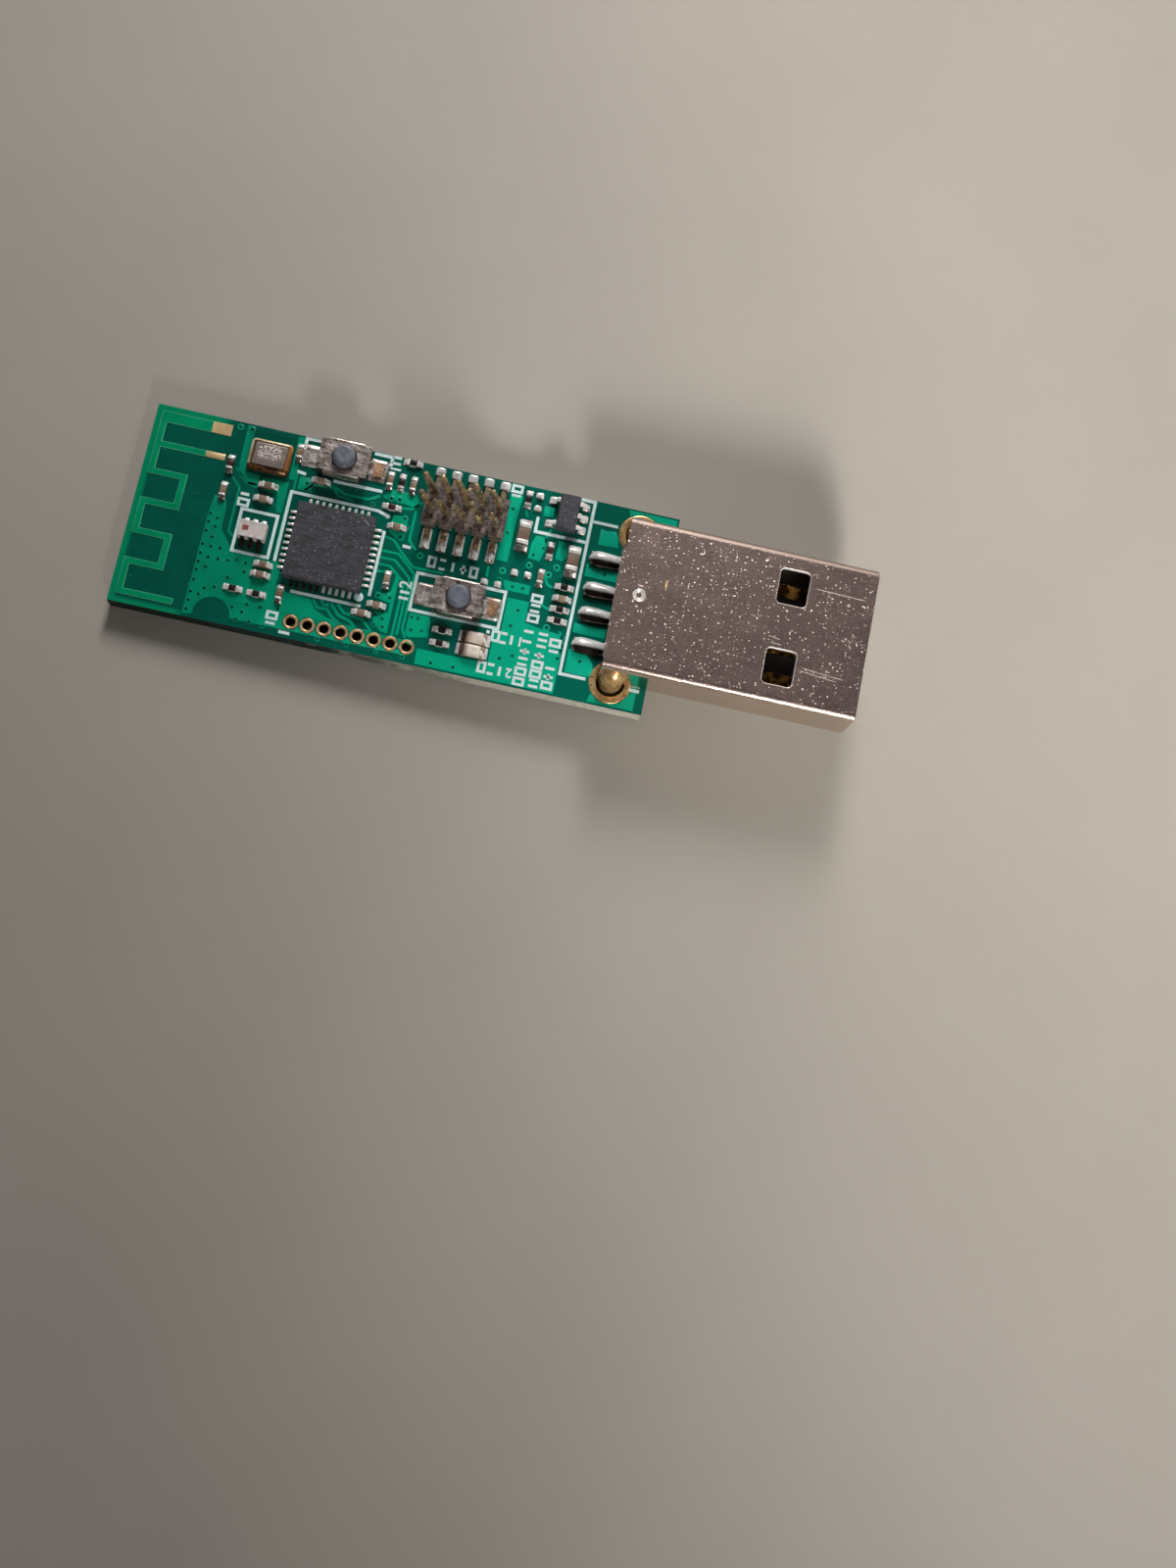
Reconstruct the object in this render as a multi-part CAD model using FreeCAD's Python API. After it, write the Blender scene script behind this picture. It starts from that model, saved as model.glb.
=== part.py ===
import FreeCAD, Part
import math
import os
from FreeCAD import Vector

# A bare radio stick for a computer: a green circuit board with a folded steel plug on one end,
# a printed antenna on the other, and the chips, switches, header and lamps in between.
# All sizes are millimetres. Places on the board are measured from the middle of its antenna end,
# X towards the plug and Y across, with Z = 0 on the face that carries the chips.
# The finished part is moved so that its origin is the middle of the plug's mouth.

# Circuit board: its length follows from the parts and the plug on it, its width from the widest of them
board_thickness = 1.6
board_edge_margin = 0.05
copper_thickness = 0.05

# Row of plated test holes along the near edge
io_hole_count = 8
io_hole_pitch = 1.27
io_hole_radius = 0.36
io_ring_radius = 0.58
io_row_start = 13.67
io_row_inset = 1.31

# Plated holes for the plug's legs
leg_hole_radius = 1.1
leg_ring_radius = 1.65
leg_hole_setback = 1.05
leg_hole_outset = 0.3

# Printed antenna: a fed arm, an earthed arm and a meander
antenna_width = 0.5
antenna_earth_width = 0.9
antenna_spine_x = 0.7
antenna_loop_x = 3.25
antenna_tail_x = 4.75
antenna_edge_inset = 0.9
antenna_feed_drop = 2.22
antenna_first_drop = 4.47
antenna_meander_arms = 5
antenna_pad_start = 4.4
antenna_pad_length = 1.5

# Plug shell, folded from one sheet
shell_length = 19.2
shell_width = 12.0
shell_height = 4.5
shell_sheet = 0.3
shell_bend = 0.6
shell_on_board = 3.85
plug_offset = -0.15
mouth_chamfer = 0.12
window_length = 2.3
window_width = 2.75
window_corner = 0.35
window_to_mouth = 5.15
window_spread = 3.15
seam_gap = 0.06
seam_tongue_length = 2.4
seam_tongue_width = 1.6
seam_tongue_neck = 0.7
seam_tongue_x = 9.0
tail_opening = 1.7
dimple_radius = 0.5
dimple_foot_radius = 0.22
dimple_depth = 0.2
dimple_x = 1.65
lip_reach = 0.25
lip_near_reach = 0.12
lip_far_y = 3.0
lip_slant = 0.3

# Plug legs: half-round ribs pressed out of the side walls
leg_radius = 0.95
leg_top = 2.4
leg_reach = 0.9
leg_tip_taper = 0.45
leg_relief = 0.15
leg_hollow_top_radius = 0.25
leg_hollow_rise = 0.5

# Plug insulator and contacts
insulator_gap = 0.05
insulator_block_length = 8.8
insulator_inset = 0.25
tongue_thickness = 1.85
tongue_setback = 1.0
contact_width = 1.0
contact_sheet = 0.25
contact_proud = 0.03
outer_contact_y = 3.5
inner_contact_y = 1.0
outer_contact_setback = 1.3
inner_contact_setback = 2.3
contact_step_x = 1.0
contact_step_run = 0.3
tail_length = 2.35
tail_end_gap = 0.12
tail_clearance = 0.62
tail_solder_width = 1.3
tail_solder_height = 0.5
tail_solder_slope = 0.28

# Solder under the plug's legs
leg_solder_radius = 1.5
leg_solder_height = 0.38
leg_solder_tip_radius = 1.15

# Radio chip: a square flat package with lands on four sides
chip_x = 15.25
chip_y = -0.45
chip_side = 6.0
chip_height = 0.87
chip_lands_per_side = 10
chip_land_pitch = 0.5
chip_land_width = 0.25
chip_land_depth = 0.4
chip_land_height = 0.2
chip_standoff = 0.02
chip_pad_side = 4.4
chip_fillet_reach = 0.55

# Crystal can
crystal_x = 9.25
crystal_y = 5.6
crystal_length = 3.2
crystal_width = 2.5
crystal_base_height = 0.42
crystal_rim_height = 0.18
crystal_rim_width = 0.45
crystal_rim_slope = 0.15
crystal_lid_height = 0.1
crystal_lid_inset = 0.36
crystal_corner = 0.2

# Balun filter
balun_x = 9.35
balun_y = -0.5
balun_length = 2.1
balun_width = 1.3
balun_height = 0.9
balun_terminal_width = 0.35
balun_terminal_pitch = 0.65
balun_terminal_wrap = 0.18
balun_terminal_sheet = 0.03

# Push switches: a tray, a snap dome, a button and a folded cover
switch_places = {"switch_1": (14.83, 6.5), "switch_2": (25.6, -2.35)}
tray_length = 3.7
tray_side_gap = 0.02
tray_floor = 0.4
tray_well_radius = 1.2
cover_length = 3.9
cover_width = 2.5
cover_sheet = 0.2
cover_top = 1.38
cover_flange_length = 2.75
cover_flange_out = 0.2
cover_flange_low = 0.45
cover_bend = 0.18
cover_hole_radius = 0.98
button_radius = 0.9
button_top = 2.02
button_edge = 0.1
button_flange_radius = 1.12
button_flange_height = 0.2
dome_span = 2.1
dome_width = 0.9
dome_foot = 0.25
dome_crown = 0.7
dome_sheet = 0.05
terminal_length = 1.3
terminal_width = 1.1
terminal_sheet = 0.15
terminal_lift = 0.2
terminal_bury = 0.35
terminal_shoulder = 0.85
terminal_step_share = 0.8

# Pin header with two rows, its pins bent over by use
header_columns = 5
header_pitch = 1.27
header_x = 22.17
header_y = 4.45
header_body_width = 3.1
header_body_low = 0.35
header_body_top = 1.5
header_end_margin = 0.635
header_notch_width = 0.24
header_notch_depth = 0.3
header_pin_side = 0.46
header_foot_low = 0.04
header_foot_height = 0.3
header_foot_reach = 3.15
header_pin_top = 4.6
header_pin_tip_share = 0.75
header_solder_reach = 3.35
header_solder_width = 0.76
header_solder_height = 0.28
header_solder_slope = 0.16
header_solder_gap = 0.05
# How far each pin's tip has been pushed along X and Y, and how much lower it ends
header_far_bends = ((-0.80, 0.45, 0.0), (-0.82, 0.50, 0.0), (-0.86, 0.38, 0.0),
                    (-0.80, 0.40, 0.0), (-0.72, 0.22, 0.1))
header_near_bends = ((-0.85, 0.28, 0.0), (-1.00, -0.15, 0.2), (-0.90, -0.05, 0.9),
                     (-0.84, 0.22, 0.1), (-0.55, -0.02, 0.9))

# Voltage regulator in a small outline package
regulator_x = 32.4
regulator_y = 6.27
regulator_length = 2.9
regulator_width = 1.6
regulator_low = 0.08
regulator_top = 1.15
regulator_draft = 0.1
regulator_lead_pitch = 0.95
regulator_lead_width = 0.4
regulator_lead_sheet = 0.15
regulator_lead_mid = 0.6
regulator_lead_span = 2.8
regulator_lead_bury = 0.25
regulator_lead_shoulder = 0.18
regulator_foot = 0.45

# Small two-ended parts: length, width and the depth of each metal end
small_length = 1.0
small_width = 0.5
small_end = 0.24
resistor_core_height = 0.28
resistor_coat_height = 0.05
capacitor_height = 0.5
inductor_height = 0.55
small_end_proud = 0.015
small_solder_reach = 0.28
small_solder_share = 0.75
bulk_length = 1.75
bulk_width = 0.95
bulk_height = 0.85
bulk_end = 0.42
bulk_solder_reach = 0.45

# Places of the small parts: x, y and whether the part lies across the board
resistor_places = (
    (8.86, -5.13, False), (10.67, -5.18, False), (19.95, 7.68, False), (19.42, 5.95, True),
    (19.10, 3.84, False), (29.20, 6.86, True), (31.65, 3.16, True), (33.28, 0.53, False),
    (33.28, -1.28, False), (33.28, -2.19, False), (24.90, -4.86, False), (24.90, -5.90, False))
capacitor_places = (
    (6.40, 2.22, True), (9.60, 3.34, False), (9.45, 2.22, False), (10.65, -2.85, False),
    (10.60, -3.65, False), (12.40, -4.80, True), (11.35, 6.50, True), (13.38, 4.62, False),
    (18.54, 5.90, True), (20.35, 5.90, True), (19.80, 2.35, False), (20.00, -1.90, True),
    (19.62, -4.04, False), (18.65, -4.90, False), (31.35, 0.86, True), (33.28, -0.43, False))
inductor_places = ((6.43, 4.42, True),)
bulk_places = ((29.40, 3.88, True), (33.50, 2.66, True))
# Footprints that the maker left empty, with only a bead of solder on each pad
open_places = ((27.75, -0.37, False), (29.82, 0.85, False), (30.02, 6.82, True))
open_pad_spread = 0.52
open_bead_length = 0.55
open_bead_width = 0.6
open_bead_height = 0.2
open_bead_slope = 0.14

# Indicator lamps
led_x = 27.42
led_rows_y = (-4.92, -5.95)
led_length = 1.9
led_width = 0.92
led_base_height = 0.22
led_lens_length = 1.36
led_lens_height = 0.4
led_lens_slope = 0.15
led_end_height = 0.3
led_end_length = 0.26


def small_part_end(place, length, width, solder):
    """How far along the board a small part and its solder reach."""
    x, y, across = place
    return x + (width / 2 if across else length / 2 + solder)


# Worked out from the sizes above: the plug's tails start just past the last parts
last_part_end = max(
    [small_part_end(place, small_length, small_width, small_solder_reach)
     for place in resistor_places + capacitor_places + inductor_places]
    + [small_part_end(place, bulk_length, bulk_width, bulk_solder_reach) for place in bulk_places]
    + [regulator_x + regulator_lead_span / 2])
plug_rear = last_part_end + tail_clearance + tail_end_gap + tail_length
plug_mouth = plug_rear + shell_length
board_length = plug_rear + shell_on_board
leg_hole_x = plug_rear + leg_hole_setback
leg_hole_y = shell_width / 2 - shell_sheet + leg_hole_outset
# The board's long edges clear the leg rings, the switch near the far edge and the header's pads
widest_reach = max(
    [leg_hole_y + leg_ring_radius, header_y + header_solder_reach]
    + [abs(y) + cover_width / 2 + cover_flange_out for x, y in switch_places.values()])
board_width = 2 * (widest_reach + board_edge_margin)
io_row_y = io_row_inset - board_width / 2
antenna_top_y = board_width / 2 - antenna_edge_inset
antenna_feed_y = antenna_top_y - antenna_feed_drop
shell_low = copper_thickness
shell_top = shell_low + shell_height
tray_height = cover_top - cover_sheet
tray_width = cover_width + 2 * (cover_flange_out - cover_sheet - tray_side_gap)
button_flange_low = tray_height - button_flange_height
origin = Vector(plug_mouth, plug_offset, shell_low + shell_height / 2)
written = []


def box(x0, x1, y0, y1, z0, z1):
    """A block between two corners."""
    return Part.makeBox(x1 - x0, y1 - y0, z1 - z0, Vector(x0, y0, z0))


def slab(x, y, length, width, z0, z1):
    """A block centred on a place of the board."""
    return box(x - length / 2, x + length / 2, y - width / 2, y + width / 2, z0, z1)


def rounded_slab(x, y, length, width, z0, z1, corner):
    """A block with its four upright edges rounded."""
    block = slab(x, y, length, width, z0, z1)
    upright = [e for e in block.Edges if abs(e.Vertexes[0].Z - e.Vertexes[1].Z) > 1e-6]
    return block.makeFillet(corner, upright)


def drum(x, y, radius, z0, z1):
    """An upright cylinder."""
    return Part.makeCylinder(radius, z1 - z0, Vector(x, y, z0))


def turned(x, y, profile):
    """A solid turned about an upright axis, from its outline in radius and height."""
    points = [Vector(r, 0, z) for r, z in profile]
    face = Part.Face(Part.makePolygon(points + points[:1]))
    solid = face.revolve(Vector(0, 0, 0), Vector(0, 0, 1), 360)
    solid.translate(Vector(x, y, 0))
    return solid


def strip(start, end, width, z0, z1):
    """A flat bar between two places, with square ends half a width past them."""
    run = Vector(end[0] - start[0], end[1] - start[1], 0)
    bar = Part.makeBox(run.Length + width, width, z1 - z0, Vector(-width / 2, -width / 2, z0))
    bar.rotate(Vector(0, 0, 0), Vector(0, 0, 1), math.degrees(math.atan2(run.y, run.x)))
    bar.translate(Vector(start[0], start[1], 0))
    return bar


def prism_y(outline, y0, y1):
    """An outline in X and Z, drawn out along Y."""
    points = [Vector(x, y0, z) for x, z in outline]
    return Part.Face(Part.makePolygon(points + points[:1])).extrude(Vector(0, y1 - y0, 0))


def bent_sheet(path, sheet, y0, y1):
    """A strip of sheet folded along a path in X and Z, with mitred folds."""
    left, right = [], []
    for i, (x, z) in enumerate(path):
        before = path[max(i - 1, 0)]
        after = path[min(i + 1, len(path) - 1)]
        a = Vector(x - before[0], z - before[1], 0)
        b = Vector(after[0] - x, after[1] - z, 0)
        a = b if a.Length == 0 else a
        b = a if b.Length == 0 else b
        a.normalize()
        b.normalize()
        across = Vector(-(a.y + b.y), a.x + b.x, 0)
        across.normalize()
        reach = sheet / 2 / (across.x * -a.y + across.y * a.x)
        left.append((x + across.x * reach, z + across.y * reach))
        right.append((x - across.x * reach, z - across.y * reach))
    return prism_y(left + right[::-1], y0, y1)


def joined(solids):
    """One solid from several that touch."""
    return solids[0].fuse(solids[1:]).removeSplitter()


def quarter_turned(shape, x, y, turn):
    """The shape, turned a quarter about its own place where asked."""
    if turn:
        shape.rotate(Vector(x, y, 0), Vector(0, 0, 1), 90)
    return shape


def write(name, solids):
    """Move a node's solids to the part's own frame and write them."""
    for solid in solids:
        solid.translate(origin * -1)
    shape = solids[0] if len(solids) == 1 else Part.makeCompound(solids)
    shape.exportStep(os.path.join("parts", name + ".step"))
    written.append(name)


def io_hole_places():
    """The places of the test holes, from the antenna end on."""
    return [(io_row_start + i * io_hole_pitch, io_row_y) for i in range(io_hole_count)]


def leg_hole_places():
    """The places of the two holes for the plug's legs."""
    return [(leg_hole_x, side * leg_hole_y) for side in (1, -1)]


def circuit_board():
    """The laminate with a seat for each plated eyelet."""
    board = box(0, board_length, -board_width / 2, board_width / 2, -board_thickness, 0)
    seats = [drum(x, y, io_ring_radius, -board_thickness, 0) for x, y in io_hole_places()]
    seats += [drum(x, y, leg_ring_radius, -board_thickness, 0) for x, y in leg_hole_places()]
    return board.cut(seats)


def eyelet(x, y, hole_radius, ring_radius):
    """A plated hole: one copper sleeve as wide as its rings, standing just proud of the board."""
    low = -board_thickness - copper_thickness
    return turned(x, y, [(hole_radius, low), (ring_radius, low), (ring_radius, copper_thickness),
                         (hole_radius, copper_thickness)])


def antenna_trace():
    """The antenna's copper track, apart from the two bare pads at the ends of its arms."""
    top_y = antenna_top_y - antenna_earth_width / 2 + antenna_width / 2
    half = antenna_width / 2
    bars = [box(antenna_spine_x - half, antenna_pad_start, antenna_top_y - antenna_earth_width / 2,
                antenna_top_y + antenna_earth_width / 2, 0, copper_thickness),
            box(antenna_spine_x - half, antenna_pad_start, antenna_feed_y - half, antenna_feed_y + half,
                0, copper_thickness)]
    route = [(antenna_spine_x, top_y)]
    first_y = antenna_top_y - antenna_first_drop
    last_y = antenna_edge_inset - board_width / 2
    for i in range(antenna_meander_arms):
        y = first_y + (last_y - first_y) * i / (antenna_meander_arms - 1)
        ends = [antenna_spine_x, antenna_loop_x][::1 if i % 2 == 0 else -1]
        if i == antenna_meander_arms - 1:
            ends[1] = antenna_tail_x - half
        route += [(ends[0], y), (ends[1], y)]
    bars += [strip(a, b, antenna_width, 0, copper_thickness) for a, b in zip(route, route[1:])]
    return joined(bars)


def antenna_pads():
    """The bare gilded pads where the antenna's two arms meet the ground and the feed."""
    pads = []
    for y, width in ((antenna_top_y, antenna_earth_width), (antenna_feed_y, antenna_width)):
        pads.append(box(antenna_pad_start, antenna_pad_start + antenna_pad_length,
                        y - width / 2, y + width / 2, 0, copper_thickness))
    return pads


def rounded_tube(x0, x1, width, z0, z1, bend, chamfer=0.0):
    """A block along X with its four long edges rounded and its front edge eased."""
    block = box(x0, x1, plug_offset - width / 2, plug_offset + width / 2, z0, z1)
    along = [e for e in block.Edges if abs(e.Vertexes[0].X - e.Vertexes[1].X) > 1e-6]
    block = block.makeFillet(bend, along)
    if chamfer:
        front = [e for e in block.Edges if e.BoundBox.XMin > x1 - 1e-6]
        block = block.makeChamfer(chamfer, front)
    return block


def leg_axis_y(side):
    """Where a leg's rounded rib has its axis: the inner face of the side wall."""
    return plug_offset + side * (shell_width / 2 - shell_sheet)


def leg_rib(side, low):
    """A post about a leg's axis, from below the board up to a round top like half a ball."""
    y = leg_axis_y(side)
    post = drum(leg_hole_x, y, leg_radius, low, leg_top)
    return post.fuse(Part.makeSphere(leg_radius, Vector(leg_hole_x, y, leg_top))).removeSplitter()


def leg_hollow(side, low):
    """The hollow inside a leg's rib, one sheet thinner than the rib, with a tapered top."""
    radius = leg_radius - shell_sheet
    return turned(leg_hole_x, leg_axis_y(side),
                  [(0, low), (radius, low), (radius, leg_top),
                   (leg_hollow_top_radius, leg_top + leg_hollow_rise), (0, leg_top + leg_hollow_rise)])


def outside_of_wall(side):
    """All the space on the outer side of a leg's axis plane."""
    y = leg_axis_y(side)
    far = y + side * 4 * leg_radius
    return box(leg_hole_x - 4 * leg_radius, leg_hole_x + 4 * leg_radius, min(y, far), max(y, far),
               -4 * board_thickness, 2 * shell_top)


def leg_shape(side):
    """One leg: a half-round rib of sheet that goes down through the board and narrows at its tip."""
    low = -board_thickness - leg_reach
    rib = leg_rib(side, low).cut(leg_hollow(side, low - 1)).common(outside_of_wall(side))
    tapers = []
    for end in (1, -1):
        edge = leg_hole_x + end * leg_radius
        out = edge + end * leg_tip_taper
        outline = [(out, low - leg_tip_taper), (edge - end * 2 * leg_tip_taper, low - leg_tip_taper),
                   (out, low + 2 * leg_tip_taper)]
        y = leg_axis_y(side)
        tapers.append(prism_y(outline, y - 2 * leg_radius, y + 2 * leg_radius))
    return rib.cut(tapers)


def seam_cut():
    """The narrow gap along the shell's underside, with one dovetail that locks it shut."""
    half = seam_tongue_width / 2
    neck = half * seam_tongue_neck
    x = plug_rear + seam_tongue_x
    y = plug_offset
    route = [(plug_rear - 1, y), (x, y), (x, y + neck), (x + seam_tongue_length / 2, y + half),
             (x + seam_tongue_length, y + neck), (x + seam_tongue_length, y), (plug_mouth + 1, y)]
    return [strip(a, b, seam_gap, shell_low - 0.5, shell_low + shell_sheet + 0.1)
            for a, b in zip(route, route[1:])]


def rear_lip():
    """The short lip by which the top stands out behind the walls, with slanted ends."""
    near = plug_offset - shell_width / 2 + shell_bend
    inside = plug_rear + lip_slant
    outline = [(inside, lip_far_y + lip_slant), (plug_rear, lip_far_y + lip_slant),
               (plug_rear - lip_reach, lip_far_y), (plug_rear - lip_near_reach, near + lip_slant),
               (plug_rear, near), (inside, near)]
    points = [Vector(x, y, shell_top - shell_sheet) for x, y in outline]
    return Part.Face(Part.makePolygon(points + points[:1])).extrude(Vector(0, 0, shell_sheet))


def dimple():
    """The tapered round dimple coined into the top."""
    rise = dimple_radius - dimple_foot_radius
    return turned(plug_rear + dimple_x, plug_offset,
                  [(0, shell_top - dimple_depth), (dimple_foot_radius, shell_top - dimple_depth),
                   (dimple_radius, shell_top), (dimple_radius + rise, shell_top + dimple_depth),
                   (0, shell_top + dimple_depth)])


def usb_shell():
    """The plug's folded steel shell, with windows, seam, dimple, rear lip and two legs."""
    shell = rounded_tube(plug_rear, plug_mouth, shell_width, shell_low, shell_top, shell_bend,
                         mouth_chamfer)
    inside = rounded_tube(plug_rear - 1, plug_mouth + 1, shell_width - 2 * shell_sheet,
                          shell_low + shell_sheet, shell_top - shell_sheet, shell_bend - shell_sheet)
    window_x = plug_mouth - window_to_mouth - window_length / 2
    cuts = [inside]
    for side in (1, -1):
        cuts.append(rounded_slab(window_x, plug_offset + side * window_spread, window_length, window_width,
                                 shell_low - 1, shell_top + 1, window_corner))
        cuts.append(leg_hollow(side, -1))
        cuts.append(slab(leg_hole_x, leg_axis_y(side), 2 * (leg_radius + leg_relief),
                         3 * shell_sheet + 2 * leg_relief, -1, shell_low + shell_bend + leg_relief))
    tails_half = outer_contact_y + contact_width
    cuts.append(box(plug_rear - 1, plug_rear + tail_opening, plug_offset - tails_half,
                    plug_offset + tails_half, -1, shell_low + shell_sheet + 0.1))
    cuts += seam_cut()
    shell = shell.cut(cuts)
    shell = joined([shell, rear_lip()] + [leg_shape(side) for side in (1, -1)])
    return shell.cut(dimple())


def contact_path(setback):
    """A contact's centre line: the blade, the step down and the tail on the board."""
    tongue_top = shell_low + shell_sheet + insulator_gap + tongue_thickness
    blade_z = tongue_top + contact_proud - contact_sheet / 2
    tail_z = copper_thickness + contact_sheet / 2
    step = plug_rear + contact_step_x
    return [(plug_mouth - setback, blade_z), (step + contact_step_run, blade_z), (step, tail_z),
            (plug_rear - tail_length, tail_z)]


def contact_places():
    """Each contact's place across the plug and how far its blade stops short of the mouth."""
    return ((outer_contact_y, outer_contact_setback), (inner_contact_y, inner_contact_setback),
            (-inner_contact_y, inner_contact_setback), (-outer_contact_y, outer_contact_setback))


def plug_contact(y, setback):
    """One stamped contact of the plug."""
    middle = plug_offset + y
    return bent_sheet(contact_path(setback), contact_sheet, middle - contact_width / 2,
                      middle + contact_width / 2)


def usb_insulator():
    """The plug's moulded insulator: a block that fills the rear and the tongue in front of it."""
    gap = insulator_gap
    width = shell_width - 2 * shell_sheet - 2 * gap
    low = shell_low + shell_sheet + gap
    high = shell_top - shell_sheet - gap
    rear = plug_rear + insulator_inset
    bend = shell_bend - shell_sheet
    block = rounded_tube(rear, rear + insulator_block_length, width, low, high, bend)
    tongue = box(rear, plug_mouth - tongue_setback, plug_offset - width / 2, plug_offset + width / 2,
                 low, low + tongue_thickness)
    low_edges = [e for e in tongue.Edges
                 if abs(e.Vertexes[0].X - e.Vertexes[1].X) > 1e-6 and e.BoundBox.ZMax < low + 1e-6]
    tongue = tongue.makeFillet(bend, low_edges)
    body = joined([block, tongue])
    hollow = [plug_contact(y, setback) for y, setback in contact_places()]
    for side in (1, -1):
        y = leg_axis_y(side)
        hollow.append(drum(leg_hole_x, y, leg_radius, -1, leg_top + leg_radius))
        hollow.append(slab(leg_hole_x, y, 2 * (leg_radius + leg_relief), 2 * gap, low - 1, high + 1))
    return body.cut(hollow)


def tail_solder(y):
    """The long bead of solder over one contact's tail."""
    start = plug_rear - tail_length - tail_end_gap
    bead = box(start, plug_rear, plug_offset + y - tail_solder_width / 2,
               plug_offset + y + tail_solder_width / 2, 0, tail_solder_height)
    top_edges = [e for e in bead.Edges if e.BoundBox.ZMin > tail_solder_height - 1e-6]
    return bead.makeChamfer(tail_solder_slope, top_edges)


def leg_solder(side):
    """The cone of solder round a leg, under its hole."""
    face = -board_thickness - copper_thickness
    cone = Part.makeCone(leg_solder_tip_radius, leg_solder_radius, leg_solder_height,
                         Vector(leg_hole_x, side * leg_hole_y, face - leg_solder_height))
    return cone.cut(leg_shape(side))


def land_places():
    """Each land's middle on the edge of the chip, and the way it faces."""
    places = []
    half_row = (chip_lands_per_side - 1) * chip_land_pitch / 2
    for turn in range(4):
        out = Vector(math.cos(turn * math.pi / 2), math.sin(turn * math.pi / 2), 0)
        side = Vector(-out.y, out.x, 0)
        for i in range(chip_lands_per_side):
            middle = Vector(chip_x, chip_y, 0) + out * (chip_side / 2)
            places.append((middle + side * (i * chip_land_pitch - half_row), turn * 90))
    return places


def chip_lands():
    """The chip's forty lands and the bare pad under it."""
    lands = []
    for middle, angle in land_places():
        land = box(-chip_land_depth, 0, -chip_land_width / 2, chip_land_width / 2, 0, chip_land_height)
        land.rotate(Vector(0, 0, 0), Vector(0, 0, 1), angle)
        land.translate(middle)
        lands.append(land)
    lands.append(slab(chip_x, chip_y, chip_pad_side, chip_pad_side, 0, chip_land_height))
    return lands


def chip_body(lands):
    """The chip's moulding, with a pocket for each land."""
    body = slab(chip_x, chip_y, chip_side, chip_side, chip_standoff, chip_height)
    return body.cut(lands)


def chip_solder():
    """The wedge of solder in front of each land."""
    wedges = []
    for middle, angle in land_places():
        outline = [(0, 0), (chip_fillet_reach, 0), (0, chip_land_height * small_solder_share)]
        wedge = prism_y(outline, -chip_land_width / 2, chip_land_width / 2)
        wedge.rotate(Vector(0, 0, 0), Vector(0, 0, 1), angle)
        wedge.translate(middle)
        wedges.append(wedge)
    return wedges


def cut_corner_slab(x, y, length, width, z0, z1, corner):
    """A block with its four upright edges cut off at an angle."""
    block = slab(x, y, length, width, z0, z1)
    upright = [e for e in block.Edges if abs(e.Vertexes[0].Z - e.Vertexes[1].Z) > 1e-6]
    return block.makeChamfer(corner, upright)


def crystal_base():
    """The ceramic tray of the crystal."""
    return cut_corner_slab(crystal_x, crystal_y, crystal_length, crystal_width, 0, crystal_base_height,
                           crystal_corner)


def crystal_rim():
    """The gilded ring brazed on the tray's edge, sloping down to its outside."""
    low = crystal_base_height
    high = low + crystal_rim_height
    ring = cut_corner_slab(crystal_x, crystal_y, crystal_length, crystal_width, low, high, crystal_corner)
    ring = ring.makeChamfer(crystal_rim_slope, [e for e in ring.Edges if e.BoundBox.ZMin > high - 1e-6])
    inner = slab(crystal_x, crystal_y, crystal_length - 2 * crystal_rim_width,
                 crystal_width - 2 * crystal_rim_width, low - 1, high + 1)
    return ring.cut(inner)


def crystal_lid():
    """The thin lid welded on the ring, standing a little inside its edge."""
    low = crystal_base_height + crystal_rim_height
    return cut_corner_slab(crystal_x, crystal_y, crystal_length - 2 * crystal_lid_inset,
                           crystal_width - 2 * crystal_lid_inset, low, low + crystal_lid_height,
                           crystal_corner / 2)


def balun_terminals():
    """The six metal strips that wrap the balun's long sides."""
    clips = []
    sheet = balun_terminal_sheet
    core = slab(balun_x, balun_y, balun_length, balun_width, 0, balun_height)
    for side in (1, -1):
        edge = balun_y + side * balun_width / 2
        for step in (-1, 0, 1):
            clip = slab(balun_x + step * balun_terminal_pitch, edge, balun_terminal_width,
                        2 * balun_terminal_wrap, 0, balun_height + sheet)
            outer = slab(balun_x, balun_y, balun_length, balun_width + 2 * sheet, 0, balun_height + sheet)
            clips.append(clip.common(outer).cut(core))
    return clips


def switch_tray(x, y):
    """A switch's moulded tray, with a round well for the dome."""
    tray = slab(x, y, tray_length, tray_width, 0, tray_height)
    tray = tray.cut(drum(x, y, tray_well_radius, tray_floor, tray_height + 1))
    return tray.cut(switch_terminals(x, y))


def switch_terminals(x, y):
    """The two flat terminals moulded into the ends of a switch's tray."""
    bars = []
    for end in (1, -1):
        inner = x + end * (tray_length / 2 - terminal_bury)
        outer = x + end * (tray_length / 2 + terminal_length)
        foot = x + end * (tray_length / 2 + terminal_length * terminal_step_share)
        low = terminal_sheet / 2
        shoulder = x + end * (tray_length / 2 + terminal_shoulder)
        path = [(inner, low + terminal_lift), (shoulder, low + terminal_lift), (foot, low), (outer, low)]
        bars.append(bent_sheet(path, terminal_sheet, y - terminal_width / 2, y + terminal_width / 2))
    return bars


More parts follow.
